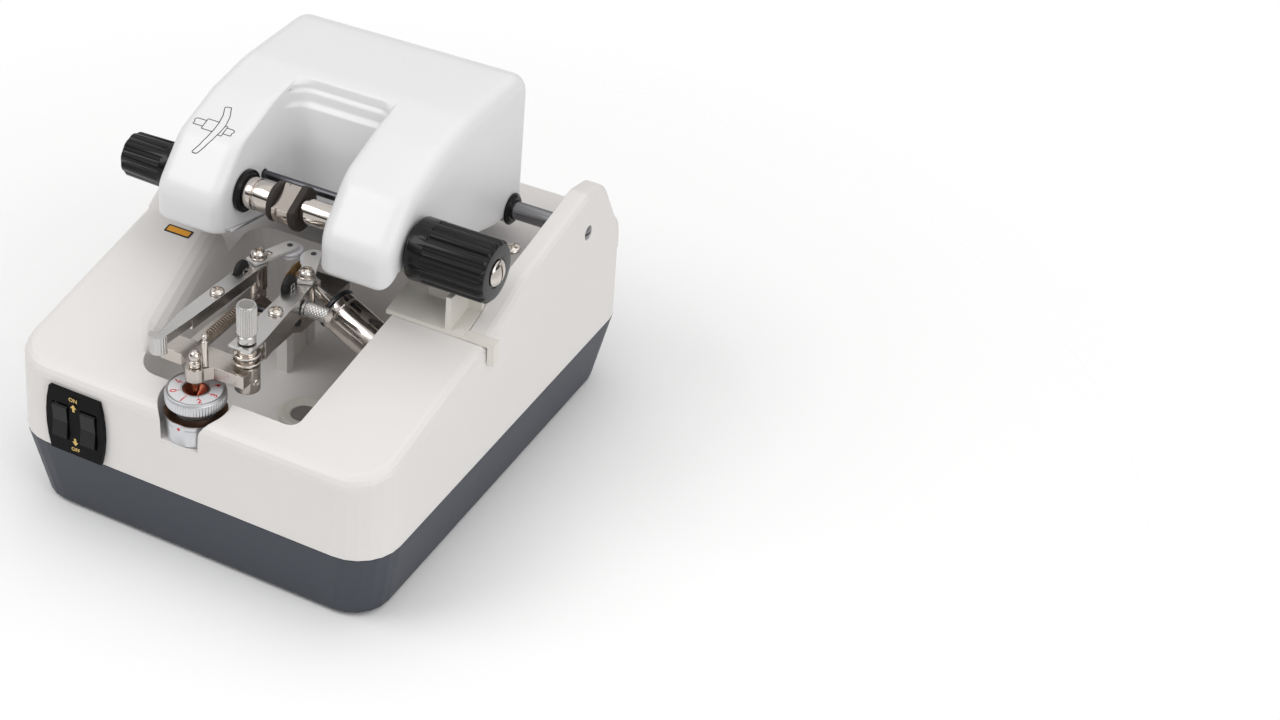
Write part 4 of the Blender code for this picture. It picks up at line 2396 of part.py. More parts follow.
def clamp_pad():
    """The rubber pad that presses on the lens."""
    edge = PAD_T / 5
    pad = turned(
        "clamp_pad",
        [
            (0.0, PAD_T),
            (PAD_R - edge, PAD_T),
            (PAD_R, PAD_T - edge),
            (PAD_R, edge),
            (PAD_R - edge, 0.0),
            (0.0, 0.0),
        ],
        along_x(PAD_X, CHUCK_Y, CHUCK_Z),
        MEDIUM,
    )
    return finish_piece(pad, RUBBER)


def clamp_shaft():
    """The right chuck shaft with its gear, which slides to clamp the lens."""
    start = PAD_X + PAD_T + GAP
    shaft = rod("clamp_shaft", (start, CHUCK_Y, CHUCK_Z), (CLAMP_SHAFT_END_X, CHUCK_Y, CHUCK_Z), SHAFT_R)
    wheel = gear("clamp_gear", CHUCK_TEETH, 0.0, RIGHT_GEAR_X, RIGHT_GEAR_X + GEAR_T / 2, CHUCK_Y, CHUCK_Z)
    return finish_piece(join(shaft, wheel), CHROME)


def clamp_sleeve():
    """The thrust sleeve on the right shaft, which the right knob drives along."""
    made = ring(
        "clamp_sleeve",
        CLAMP_SLEEVE_R,
        SHAFT_R + GAP,
        0.0,
        CLAMP_SLEEVE_L,
        along_x(CLAMP_SLEEVE_X, CHUCK_Y, CHUCK_Z),
    )
    return finish_piece(made, STEEL)


def left_knob():
    """The black knob with coarse flutes at the left end of the chuck."""
    start = HEAD_LEFT_X - GAP * 2
    bevel = KNOB_BEVEL / 2
    knob = fluted(
        "left_knob",
        [
            (-LEFT_KNOB_L, LEFT_KNOB_R - bevel * 2, 0.0),
            (-LEFT_KNOB_L + bevel, LEFT_KNOB_R - bevel / 2, LEFT_KNOB_FLUTE),
            (-LEFT_KNOB_L * KNOB_PLAIN_SHARE, LEFT_KNOB_R, LEFT_KNOB_FLUTE),
            (-LEFT_KNOB_L * KNOB_PLAIN_SHARE + bevel / 2, LEFT_KNOB_R, 0.0),
            (-bevel, LEFT_KNOB_R, 0.0),
            (0.0, LEFT_KNOB_R - bevel, 0.0),
        ],
        LEFT_KNOB_FLUTES,
        along_x(start, CHUCK_Y, CHUCK_Z),
        steps=6,
    )
    return finish_piece(knob, BLACK)


def right_knob():
    """The large ribbed knob at the right end, bored for the sliding shaft."""
    start = HEAD_RIGHT_X + GAP * 2
    length = RIGHT_KNOB_L
    collar = RIGHT_KNOB_COLLAR_L
    plain = collar + length * KNOB_PLAIN_SHARE
    knob = fluted(
        "right_knob",
        [
            (0.0, RIGHT_KNOB_COLLAR_R, 0.0),
            (collar, RIGHT_KNOB_COLLAR_R, 0.0),
            (collar, RIGHT_KNOB_R - KNOB_BEVEL / 2, 0.0),
            (collar + KNOB_BEVEL / 2, RIGHT_KNOB_R, 0.0),
            (plain, RIGHT_KNOB_R, 0.0),
            (plain + KNOB_BEVEL / 2, RIGHT_KNOB_R, RIGHT_KNOB_FLUTE),
            (length - KNOB_BEVEL, RIGHT_KNOB_R, RIGHT_KNOB_FLUTE),
            (length, RIGHT_KNOB_R - KNOB_BEVEL, 0.0),
        ],
        RIGHT_KNOB_RIBS,
        along_x(start, CHUCK_Y, CHUCK_Z),
        steps=6,
    )
    bore_end = CLAMP_SHAFT_END_X + CLAMP_TRAVEL + GAP * 2
    shaft_bore = rod("knob_bore", (start - OVERRUN, CHUCK_Y, CHUCK_Z), (bore_end, CHUCK_Y, CHUCK_Z), SHAFT_R + GAP)
    end = start + length
    screw_bore = rod(
        "screw_bore",
        (end - KNOB_SCREW_SHANK_L - GAP * 2, CHUCK_Y, CHUCK_Z),
        (end + OVERRUN, CHUCK_Y, CHUCK_Z),
        KNOB_SCREW_SHANK_R + GAP,
        SMALL,
    )
    return finish_piece(cut(knob, shaft_bore, screw_bore), BLACK)


def knob_screw():
    """The chrome slotted dome screw in the right knob's end."""
    seat = HEAD_RIGHT_X + GAP * 3 + RIGHT_KNOB_L
    dome = KNOB_SCREW_DOME
    screw = turned(
        "knob_screw",
        [
            (0.0, dome),
            (KNOB_SCREW_R * 0.45, dome * 0.92),
            (KNOB_SCREW_R * 0.8, dome * 0.65),
            (KNOB_SCREW_R, dome * 0.2),
            (KNOB_SCREW_R, 0.0),
            (KNOB_SCREW_SHANK_R, 0.0),
            (KNOB_SCREW_SHANK_R, -KNOB_SCREW_SHANK_L),
            (0.0, -KNOB_SCREW_SHANK_L),
        ],
        along_x(seat, CHUCK_Y, CHUCK_Z),
        MEDIUM,
    )
    half = KNOB_SCREW_SLOT / 2
    cut(screw, block(
        "slot",
        (seat + dome - KNOB_SCREW_SLOT, CHUCK_Y - half, CHUCK_Z - KNOB_SCREW_R * 1.2),
        (seat + dome + OVERRUN, CHUCK_Y + half, CHUCK_Z + KNOB_SCREW_R * 1.2),
    ))
    return finish_piece(screw, CHROME)


def centre():
    """Move everything so that the origin is under the middle of the whole."""
    bpy.context.view_layer.update()
    pieces = collection(PARTS).objects
    corners = [obj.matrix_world @ Vector(corner) for obj in pieces for corner in obj.bound_box]
    middle_x, middle_y = (
        (min(c[axis] for c in corners) + max(c[axis] for c in corners)) / 2 for axis in (0, 1)
    )
    for obj in pieces:
        obj.matrix_world = at(-middle_x, -middle_y, 0.0) @ obj.matrix_world


def main():
    """Clear the scene, build every piece and centre the whole."""
    for obj in list(bpy.data.objects):
        bpy.data.objects.remove(obj)
    for build in (
        base_pan, feet, upper_casing, splash_shield, drain_cup, power_inlet, switch_plate, rockers,
        dial_block, depth_dial, dial_funnel,
        mechanism_bracket, lever_casting, lever_shaft, depth_screw, spring_post, return_spring,
        left_guide_arm, right_guide_arm, tip_plates, rollers, pivot_screws, buffer_discs,
        lock_knob, lock_washers, thumb_screw,
        grooving_wheel, wheel_spindle, groover_motor, motor_ring, motor_cradle,
        hinge_shaft, ear_screws, hinge_bushes, head_cover, head_frame,
        can_motor, motor_pinion, sync_shaft, chuck_bush, chuck_shaft, cushion_ring, clamp_head,
        clamp_pad, clamp_shaft, clamp_sleeve, left_knob, right_knob, knob_screw,
    ):
        build()
    centre()


main()
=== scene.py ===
"""Lens groover: finishes, smooth turned and moulded pieces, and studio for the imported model."""
import json
from math import atan2, cos, pi, radians, sin, tau

import bmesh
import bpy
from mathutils import Matrix, Vector
from mathutils.bvhtree import BVHTree


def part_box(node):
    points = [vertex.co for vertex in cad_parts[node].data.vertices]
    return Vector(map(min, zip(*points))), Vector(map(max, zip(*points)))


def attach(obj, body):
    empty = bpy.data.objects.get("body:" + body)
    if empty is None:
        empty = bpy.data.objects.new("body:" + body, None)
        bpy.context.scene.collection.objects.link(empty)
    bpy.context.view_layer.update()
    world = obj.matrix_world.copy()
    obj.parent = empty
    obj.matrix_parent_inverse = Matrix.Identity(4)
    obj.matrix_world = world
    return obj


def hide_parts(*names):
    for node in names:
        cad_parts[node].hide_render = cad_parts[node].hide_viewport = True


bl_info = {
    "name": "Lens Groover",
    "version": (1, 0, 0),
    "blender": (4, 5, 0),
    "location": "View3D > Sidebar > Lens Groover",
    "description": "Builds the looks of a bench machine that grooves spectacle lenses",
    "category": "Add Mesh",
}

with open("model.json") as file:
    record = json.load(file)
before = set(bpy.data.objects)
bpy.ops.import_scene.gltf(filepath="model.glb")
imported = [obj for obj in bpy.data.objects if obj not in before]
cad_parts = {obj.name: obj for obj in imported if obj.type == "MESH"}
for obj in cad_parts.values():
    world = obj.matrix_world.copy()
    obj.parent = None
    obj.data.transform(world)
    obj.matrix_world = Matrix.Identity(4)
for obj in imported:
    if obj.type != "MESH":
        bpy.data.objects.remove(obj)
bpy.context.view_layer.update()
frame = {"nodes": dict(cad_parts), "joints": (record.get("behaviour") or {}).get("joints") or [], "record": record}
NODE_BODY = {n: b for b, nodes in frame["record"]["behaviour"]["bodies"].items() for n in nodes}
NODE_SLOT = {part["node"]: part["material_slot"] for part in frame["record"]["subparts"]}
JOINT = {joint["name"]: joint for joint in frame["joints"]}
MM = 0.001

# How far a finish's streaks reach along X, Y and Z
EVEN = (1, 1, 1)
BRUSHED_X = (0.2, 1, 1)
DRAWN_X = (0.1, 1, 1)
TURNED_Z = (1, 1, 0.3)
DRAWN_Z = (1, 1, 0.2)


# Shader maths

class Value:
    """A number that varies over a surface. Its operators add Math nodes."""

    def __init__(self, finish, socket):
        self.finish = finish
        self.socket = socket

    def math(self, operation, *others):
        return self.finish.math(operation, self, *others)

    def __add__(self, other):
        return self.math("ADD", other)

    __radd__ = __add__

    def __mul__(self, other):
        return self.math("MULTIPLY", other)

    __rmul__ = __mul__

    def __sub__(self, other):
        return self.math("SUBTRACT", other)

    def __rsub__(self, other):
        return self.finish.math("SUBTRACT", other, self)

    def __truediv__(self, other):
        return self.math("DIVIDE", other)

    def __rtruediv__(self, other):
        return self.finish.math("DIVIDE", other, self)

    def __pow__(self, other):
        return self.math("POWER", other)

    def most(self, other):
        return self.math("MAXIMUM", other)

    def least(self, other):
        return self.math("MINIMUM", other)


class Nodes:
    """A node tree under construction."""

    def __init__(self, owner):
        owner.use_nodes = True
        self.tree = owner.node_tree

    def node(self, kind, settings=None, inputs=None):
        """Add a node: its settings first, then the values or links of its sockets."""
        made = self.tree.nodes.new(kind)
        for name, value in (settings or {}).items():
            if name == "stops":
                ramp = made.color_ramp
                while len(ramp.elements) < len(value):
                    ramp.elements.new(1)
                for element, (position, colour) in zip(ramp.elements, value):
                    element.position = position
                    element.color = colour
            else:
                setattr(made, name, value)
        for name, value in (inputs or {}).items():
            self.feed(made.inputs[name], value)
        return made

    def feed(self, socket, value):
        """Link a value to a socket, or write a plain number or colour on it."""
        if isinstance(value, Value):
            value = value.socket
        if isinstance(value, bpy.types.NodeSocket):
            self.tree.links.new(value, socket)
        else:
            socket.default_value = value

    def math(self, operation, *values):
        made = self.node("ShaderNodeMath", {"operation": operation})
        for socket, value in zip(made.inputs, values):
            self.feed(socket, value)
        return Value(self, made.outputs[0])


class Finish(Nodes):
    """A material under construction: one Principled shader and the nodes that feed it."""

    def __init__(self, name, **sockets):
        self.material = bpy.data.materials.new(name)
        super().__init__(self.material)
        self.shader = self.tree.nodes["Principled BSDF"]
        for socket, value in sockets.items():
            self.shader.inputs[socket.replace("_", " ")].default_value = value
        self.place = self.node("ShaderNodeTexCoord").outputs["Object"]

    def noise(self, scale, detail=2, roughness=0.5, stretch=None):
        """Noise in the piece's own metres, longer along an axis where stretched."""
        place = self.place
        if stretch:
            made = self.node("ShaderNodeMapping", None, {"Vector": place, "Scale": stretch})
            place = made.outputs["Vector"]
        sockets = {"Vector": place, "Scale": scale, "Detail": detail, "Roughness": roughness}
        return Value(self, self.node("ShaderNodeTexNoise", None, sockets).outputs["Fac"])

    def spots(self, scale, reach):
        """Small soft spots, 1 at their middles."""
        made = self.node("ShaderNodeTexVoronoi", None, {"Vector": self.place, "Scale": scale})
        return (1 - Value(self, made.outputs["Distance"]) / reach).most(0)

    def axis(self, letter):
        """The surface's place along one axis, in metres."""
        made = self.node("ShaderNodeSeparateXYZ", None, {"Vector": self.place})
        return Value(self, made.outputs[letter])

    def mix(self, share, first, second):
        """A colour between two, by a share from 0 to 1."""
        made = self.node("ShaderNodeMix", {"data_type": "RGBA"})
        for index, value in ((0, share), (6, first), (7, second)):
            if isinstance(value, tuple):
                value = (*value[:3], 1)
            self.feed(made.inputs[index], value)
        return made.outputs[2]

    def colour(self, value):
        self.feed(self.shader.inputs["Base Color"], value)

    def tint(self, share, colour, low, high):
        """A base colour between two strengths of one colour."""
        self.colour(self.mix(share, darker(colour, low), darker(colour, high)))

    def rough(self, value):
        self.feed(self.shader.inputs["Roughness"], value)

    def bumps(self, height, distance, strength, edge=0):
        """Relief from a height, over edges that look rounded by a radius, in millimetres."""
        sockets = {"Height": height, "Distance": distance * MM, "Strength": strength}
        if edge:
            bevel = self.node("ShaderNodeBevel", {"samples": 6}, {"Radius": edge * MM})
            sockets["Normal"] = bevel.outputs["Normal"]
        made = self.node("ShaderNodeBump", None, sockets)
        self.feed(self.shader.inputs["Normal"], made.outputs["Normal"])
        return self.material


def darker(colour, share):
    return tuple(channel * share for channel in colour[:3])


def moulded(name, colour, roughness, grain=0.01, edge=0.4, coat=0, shine=0.5):
    """Injection-moulded plastic: fine grain, faint flow marks and handling marks."""
    finish = Finish(name, Coat_Weight=coat, Coat_Roughness=0.12, Specular_IOR_Level=shine)
    cloud = finish.noise(9, 3)
    flow = finish.noise(40, 2, 0.6, (1, 0.35, 1))
    marks = finish.noise(170, 4, 0.7)
    finish.tint(cloud * 0.7 + flow * 0.3, colour, 0.965, 1.02)
    finish.rough(roughness - 0.05 + marks * 0.07 + cloud * 0.05)
    return finish.bumps(finish.noise(1600, 2), grain, 0.5, edge)


def metal(name, colour, roughness, streaks=EVEN, bump=0.004, edge=0.3, tint=None):
    """Machined or plated metal: faint streaks, a slight tint and fine scratches."""
    finish = Finish(name, Metallic=1)
    cloud = finish.noise(60, 3)
    streak = finish.noise(700, 3, 0.6, streaks)
    wipe = finish.noise(25, 2)
    finish.colour(finish.mix(cloud, darker(colour, 0.94), tint or darker(colour, 1.04)))
    finish.rough(roughness * 0.75 + streak * roughness * 0.3 + wipe * roughness * 0.2)
    return finish.bumps(streak, bump, 0.4, edge)


def cast(name, colour, roughness):
    """Plated casting: soft waves, small pits and darker hollows in the skin."""
    finish = Finish(name, Metallic=1)
    skin = finish.noise(420, 4, 0.65)
    pits = finish.spots(900, 0.28)
    wave = finish.noise(90, 2)
    shade = finish.mix(skin * 0.6 + wave * 0.4, darker(colour, 0.88), darker(colour, 1.08))
    finish.colour(finish.mix(pits * 0.25, shade, darker(colour, 0.6)))
    finish.rough(roughness + skin * 0.12 + pits * 0.1)
    return finish.bumps(skin - pits * 0.4, 0.03, 0.25, 0.4)


def rubber(name, colour, roughness):
    """Moulded rubber with fine dust in its grain."""
    finish = Finish(name, Specular_IOR_Level=0.3)
    grain = finish.noise(2200, 2)
    dust = finish.noise(120, 4, 0.7)
    finish.colour(finish.mix((dust - 0.5).most(0) * 1.6, colour, darker(colour, 3.2)))
    finish.rough(roughness + dust * 0.12)
    return finish.bumps(grain, 0.02, 0.6, 0.3)


def wound(name, colour, roughness):
    """Drawn spring wire, brighter where it has been stretched."""
    finish = Finish(name, Metallic=1)
    drawn = finish.noise(900, 3, 0.6, (0.3, 1, 0.3))
    finish.tint(drawn, colour, 0.8, 1.8)
    finish.rough(roughness + drawn * 0.15)
    return finish.bumps(drawn, 0.004, 0.4)


def printed(name, colour):
    """Screen-printed ink with a slightly uneven coat."""
    finish = Finish(name)
    ink = finish.noise(1500, 2)
    finish.tint(ink, colour, 0.88, 1.08)
    finish.rough(0.5 + ink * 0.1)
    return finish.bumps(ink, 0.004, 0.4)


def abrasive(name, colour, roughness):
    """Sintered wheel metal with grit in it."""
    finish = Finish(name, Metallic=1)
    grit = finish.noise(3500, 3, 0.7)
    wear = finish.noise(250, 3)
    finish.tint(grit * 0.6 + wear * 0.4, colour, 0.55, 1.7)
    finish.rough(roughness + grit * 0.2)
    return finish.bumps(grit, 0.02, 0.6)


FINISHES = {}


def finishes():
    """Every finish of the machine, by the record's slot or by its own name."""
    if FINISHES:
        return FINISHES
    tones = bpy.context.scene.groover_colours
    black = tones.knobs
    FINISHES.update({
        "ivory_plastic": moulded("ivory casing plastic", tones.casing, 0.40, 0.012, 0.6),
        "white_plastic": moulded("white head plastic", tones.head, 0.33, 0.008, 0.6, 0.15),
        "cream_plastic": moulded("cream shield plastic", tones.shield, 0.42, 0.01, 0.3),
        "slate_plastic": moulded("slate pan plastic", tones.pan, 0.50, 0.016, 0.8),
        "black_plastic": moulded("glossy black plastic", black, 0.22, 0.004, 0.3, 0.12, 0.22),
        "switch black": moulded("switch black", darker(black, 0.8), 0.34, 0.004, 0.3, 0, 0.08),
        "black_rubber": rubber("black rubber", (0.010, 0.010, 0.010), 0.55),
        "white_nylon": moulded("white nylon", (0.66, 0.65, 0.67), 0.38, 0.006, 0.3),
        # Chrome's base colour is darker and browner than bare plating: a painted brown reflection of its
        # surroundings.
        "chrome": metal(
            "chrome with painted brown reflection", (0.64, 0.59, 0.55), 0.08, EVEN, 0.002, 0.2, (0.72, 0.67, 0.62)
        ),
        "nickel_casting": cast("nickel casting", (0.56, 0.52, 0.48), 0.17),
        "bright_steel": metal("bright steel", (0.58, 0.57, 0.56), 0.24, BRUSHED_X, 0.005),
        "dark_steel": metal("blackened steel", (0.10, 0.10, 0.11), 0.30, DRAWN_X, 0.005),
        "aluminium": metal("satin aluminium", (0.66, 0.67, 0.69), 0.34, TURNED_Z, 0.006),
        "bronze": wound("spring bronze", (0.20, 0.16, 0.13), 0.24),
        "sintered_bronze": abrasive("sintered wheel", (0.34, 0.22, 0.10), 0.38),
        "copper": metal("copper", (0.42, 0.12, 0.07), 0.34, DRAWN_Z, 0.005),
        "knob top": metal("turned knob top", (0.36, 0.35, 0.34), 0.34, TURNED_Z, 0.006),
        "brown rim": metal("brown anodised rim", (0.10, 0.055, 0.03), 0.36, TURNED_Z, 0.006),
        "shaft steel": metal("drawn shaft steel", (0.26, 0.26, 0.27), 0.26, DRAWN_X, 0.005),
        "tip grey": moulded("grey tip plate", (0.60, 0.585, 0.57), 0.34, 0.004, 0.2),
        "ring brown": rubber("brown rubber ring", (0.030, 0.024, 0.021), 0.55),
        "pin metal": metal("polished head", (0.50, 0.45, 0.41), 0.16, EVEN, 0.003, 0.3),
        "red ink": printed("red dial ink", tones.digits),
        "gold ink": printed("gold ink", (0.72, 0.50, 0.16)),
        "line ink": printed("grey line ink", (0.06, 0.06, 0.065)),
        "black ink": printed("black ink", (0.012, 0.012, 0.014)),
        "orange tab": moulded("orange tab", tones.tab, 0.42, 0.004, 0.2),
        "dial white": moulded("dial enamel", (0.72, 0.72, 0.74), 0.30, 0.003, 0.2),
    })
    return FINISHES


# Places

TO_X = Matrix.Rotation(pi / 2, 4, "Y")
TO_FRONT = Matrix.Rotation(pi / 2, 4, "X")
QUARTER = Matrix.Rotation(pi / 2, 4, "Z")


def at(x, y, z):
    return Matrix.Translation((x, y, z))


def spun(turn, axis="Z"):
    return Matrix.Rotation(turn, 4, axis)


def span(node):
    """A node's lowest corner, highest corner and middle, in metres."""
    low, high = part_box(node)
    return low, high, (low + high) / 2


def ends_x(node):
    """Where a node starts and ends along X, in millimetres."""
    return tuple(corner.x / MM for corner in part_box(node))


def on_x(node):
    """The node's axis along X: a place at its low end, and its length in millimetres."""
    low, high, centre = span(node)
    return at(low.x, centre.y, centre.z) @ TO_X, (high.x - low.x) / MM


def on_z(node):
    """The node's upright axis: a place at its foot, and its height in millimetres."""
    low, high, centre = span(node)
    return at(centre.x, centre.y, low.z), (high.z - low.z) / MM


def joint_place(name):
    """A place on a hinge's axis, with +Z along it."""
    joint = JOINT[name]
    turn = Vector(joint["axis"]).to_track_quat("Z", "Y").to_matrix().to_4x4()
    return Matrix.Translation(joint["pos_m"]) @ turn


# Mesh code

def linked(name, data):
    obj = bpy.data.objects.new(name, data)
    bpy.context.scene.collection.objects.link(obj)
    return obj


def shade(mesh, smooth):
    """Smooth shading, with sharp edges above an angle in degrees."""
    mesh.shade_smooth()
    mesh.set_sharp_from_angle(angle=radians(smooth))


def settled(obj):
    """A mesh of what the object is with its modifiers or curve settings."""
    bpy.context.view_layer.update()
    seen = obj.evaluated_get(bpy.context.evaluated_depsgraph_get())
    return bpy.data.meshes.new_from_object(seen)


def put(name, bm, smooth=40, place=None, outwards=True):
    """Make an object from a bmesh, smooth except over sharp edges."""
    if place:
        bmesh.ops.transform(bm, matrix=place, verts=bm.verts)
    if outwards:
        bmesh.ops.recalc_face_normals(bm, faces=bm.faces)
    mesh = bpy.data.meshes.new(name)
    bm.to_mesh(mesh)
    bm.free()
    shade(mesh, smooth)
    return linked(name, mesh)


def dress(obj, finish, node=None, on=None):
    """Give a piece its finish, and the body of the node that it stands for or sits on."""
    obj.data.materials.clear()
    obj.data.materials.append(finishes()[finish])
    if node:
        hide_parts(node)
    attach(obj, NODE_BODY[node or on])
    return obj


def bridge(bm, rows, capped=True, skip=()):
    """Faces between rings of as many points, and over the first and the last ring."""
    count = len(rows[0])
    for lower, upper in zip(rows, rows[1:]):
        for i in range(count):
            if i not in skip:
                j = (i + 1) % count
                bm.faces.new((lower[i], lower[j], upper[j], upper[i]))
    if capped:
        bm.faces.new(rows[0][::-1])
        bm.faces.new(rows[-1])


def ring(bm, count, height, radius):
    """Points round the Z axis in metres, where the radius comes from the turn."""
    turns = [tau * i / count for i in range(count)]
    return [bm.verts.new((radius(t) * cos(t), radius(t) * sin(t), height)) for t in turns]


def rounding(start, corner, end, steps):
    """Points of a curve that rounds a corner."""
    shares = [i / steps for i in range(steps + 1)]
    return [start * (1 - t) ** 2 + corner * 2 * t * (1 - t) + end * t * t for t in shares]


def eased(points, radius, closed=False):
    """A profile whose inner corners are rounded by a small radius where there is room."""
    made = []
    count = len(points)
    for i, here in enumerate(points):
        if not closed and i in (0, count - 1):
            made.append(here)
            continue
        here = Vector(here)
        before, after = Vector(points[i - 1]) - here, Vector(points[(i + 1) % count]) - here
        reach = min(radius, before.length * 0.45, after.length * 0.45)
        if reach < 1e-6 or before.angle(after) > radians(168):
            made.append(here[:])
            continue
        start, end = here + before.normalized() * reach, here + after.normalized() * reach
        made += [point[:] for point in rounding(start, here, end, 3)]
    return made


def hung(top, points):
    """Profile points whose heights count from a top."""
    return [(r, top + h) for r, h in points]


def lathe(name, profile, place, steps=72, ease=0.25):
    """Revolve (radius, height) points in millimetres about the place's own Z.

    A profile that neither starts nor ends on the axis is closed into a ring.
    """
    closed = profile[0][0] > 0 and profile[-1][0] > 0
    bm = bmesh.new()
    rows = []
    for r, h in eased(profile, ease, closed):
        r, h = r * MM, h * MM
        if r < 1e-7:
            rows.append([bm.verts.new((0, 0, h))])
        else:
            rows.append(ring(bm, steps, h, lambda turn: r))
    pairs = list(zip(rows, rows[1:]))
    if closed:
        pairs.append((rows[-1], rows[0]))
    for lower, upper in pairs:
        for i in range(steps):
            j = (i + 1) % steps
            corners = [lower[i % len(lower)], lower[j % len(lower)]]
            corners += [upper[j % len(upper)], upper[i % len(upper)]]
            unique = list(dict.fromkeys(corners))
            if len(unique) > 2:
                bm.faces.new(unique)
    return put(name, bm, place=place)


def ribbed(name, sections, place, count, steps=8, sharp=2, smooth=40, bored=False):
    """A knob with flutes, through (height, radius, flute depth) sections in millimetres."""
    bm = bmesh.new()
    rows = []
    for h, r, *flute in sections:
        depth = flute[0] if flute else 0

        def radius(turn):
            return (r - depth * (0.5 - cos(turn * count) / 2) ** sharp) * MM

        rows.append(ring(bm, count * steps, h * MM, radius))
    bridge(bm, rows + rows[:1] if bored else rows, capped=not bored)
    return put(name, bm, smooth, place)


def knurled(name, size, start, end, place, starts, depth):
    """A roller with diamond knurling between two heights in millimetres."""
    bm = bmesh.new()
    along = max(24, int((end - start) * 9))
    rows = []
    for k in range(along + 1):
        h = start + (end - start) * k / along
        fade = min(1, k / 3, (along - k) / 3)
        lean = h / size

        def radius(turn):
            ridge = abs(cos((turn + lean) * starts / 2)) * abs(cos((turn - lean) * starts / 2))
            return (size - depth * (1 - ridge) * fade - 0.25 * (1 - fade)) * MM

        rows.append(ring(bm, starts * 8, h * MM, radius))
    bridge(bm, rows)
    return put(name, bm, 50, place)


def tube(name, points, radius, steps=10):
    """A round wire along points in millimetres, closed at both ends."""
    bm = bmesh.new()
    places = [Vector(point) for point in points]
    rows = []
    side = None
    for i, here in enumerate(places):
        ahead = (places[min(i + 1, len(places) - 1)] - places[max(i - 1, 0)]).normalized()
        side = ahead.orthogonal() if side is None else side - ahead * side.dot(ahead)
        side.normalize()
        up = ahead.cross(side)
        turns = [tau * k / steps for k in range(steps)]
        rows.append([
            bm.verts.new((here + (side * cos(t) + up * sin(t)) * radius) * MM) for t in turns
        ])
    bridge(bm, rows)
    return put(name, bm, 60)


def flat_mesh(name, curve):
    """The mesh of a curve or a text."""
    source = linked(name, curve)
    mesh = settled(source)
    bpy.data.objects.remove(source)
    return mesh


def slab(name, outline, place, thickness, bevel=0):
    """A flat piece from an outline in millimetres, raised along the place's Z."""
    curve = bpy.data.curves.new(name, "CURVE")
    curve.dimensions = "2D"
    curve.fill_mode = "BOTH"
    curve.extrude = thickness * MM / 2
    spline = curve.splines.new("POLY")
    spline.points.add(len(outline) - 1)
    for point, (x, y) in zip(spline.points, outline):
        point.co = (x * MM, y * MM, 0, 1)
    spline.use_cyclic_u = True
    mesh = flat_mesh(name, curve)
    bm = bmesh.new()
    bm.from_mesh(mesh)
    bpy.data.meshes.remove(mesh)
    bmesh.ops.remove_doubles(bm, verts=bm.verts, dist=2e-6)
    bmesh.ops.dissolve_limit(bm, angle_limit=radians(0.3), verts=bm.verts, edges=bm.edges)
    if bevel:
        rims = [e for e in bm.edges if e.is_manifold and e.calc_face_angle(0) > radians(60)]
        bmesh.ops.bevel(
            bm, geom=rims, offset=bevel * MM, segments=2, affect="EDGES", clamp_overlap=True
        )
    return put(name, bm, 35, place)


def letters(name, text, size, place, weight):
    """A word or number as a raised mesh, centred on the place."""
    curve = bpy.data.curves.new(name, "FONT")
    curve.body = text
    curve.size = size * MM
    curve.align_x = "CENTER"
    curve.align_y = "CENTER"
    curve.extrude = 0.03 * MM
    curve.offset = weight * MM
    mesh = flat_mesh(name, curve)
    mesh.transform(place)
    return mesh


def brick(low, high, bevel=0):
    """A box between two corners in metres, with eased edges, to cut with."""
    bm = bmesh.new()
    bmesh.ops.create_cube(bm, size=1)
    low, high = Vector(low), Vector(high)
    bmesh.ops.scale(bm, vec=high - low, verts=bm.verts)
    bmesh.ops.translate(bm, vec=(low + high) / 2, verts=bm.verts)
    if bevel:
        bmesh.ops.bevel(bm, geom=list(bm.edges), offset=bevel, segments=3, affect="EDGES")
    return put("cutter", bm)


def gather(name, pieces, smooth=40):
    """One piece from several pieces or meshes."""
    bm = bmesh.new()
    for piece in pieces:
        mesh = piece
        if isinstance(piece, bpy.types.Object):
            mesh = piece.data.copy()
            bpy.data.objects.remove(piece)
        bm.from_mesh(mesh)
        bpy.data.meshes.remove(mesh)
    return put(name, bm, smooth, outwards=False)


def carved(obj, *cutters):
    """Subtract the cutters and keep the result in the mesh."""
    for cutter in cutters:
        cut = obj.modifiers.new("Cut", "BOOLEAN")
        cut.object = cutter
        cut.solver = "EXACT"
    mesh = settled(obj)
    obj.modifiers.clear()
    obj.data = mesh
    shade(mesh, 40)
    for cutter in cutters:
        bpy.data.objects.remove(cutter)
    return obj


def cross_slot(place, top, reach, width, depth):
    """Two crossed cutters for a screw's recess, in millimetres along the place's Z."""
    made = []
    for turn in (0, pi / 2):
        bar = brick(
            (-reach * MM, -width / 2 * MM, (top - depth) * MM),
            (reach * MM, width / 2 * MM, (top + 2) * MM),
        )
        bar.matrix_world = place @ spun(turn)
        made.append(bar)
    return made


def pan_head(name, radius, height, place):
    """A domed screw head with a crossed recess, standing on the place."""
    turns = (1.25, 0.9, 0.55, 0.2)
    head = lathe(name, [
        (0, height), *((radius * cos(t), height * (0.35 + 0.65 * sin(t))) for t in turns),
        (radius, height * 0.3), (radius * 0.97, 0), (0, 0),
    ], place, 48, 0.15)
    return carved(head, *cross_slot(place, height, radius * 0.66, radius * 0.28, height * 0.6))


# Settings

def colour_setting(name, description, default):
    return bpy.props.FloatVectorProperty(
        name=name, description=description, subtype="COLOR", default=default
    )


def count_setting(name, description, default):
    return bpy.props.IntProperty(name=name, description=description, default=default)


def power_setting(name, description, default):
    return bpy.props.FloatProperty(
        name=name, description=description, unit="POWER", default=default
    )


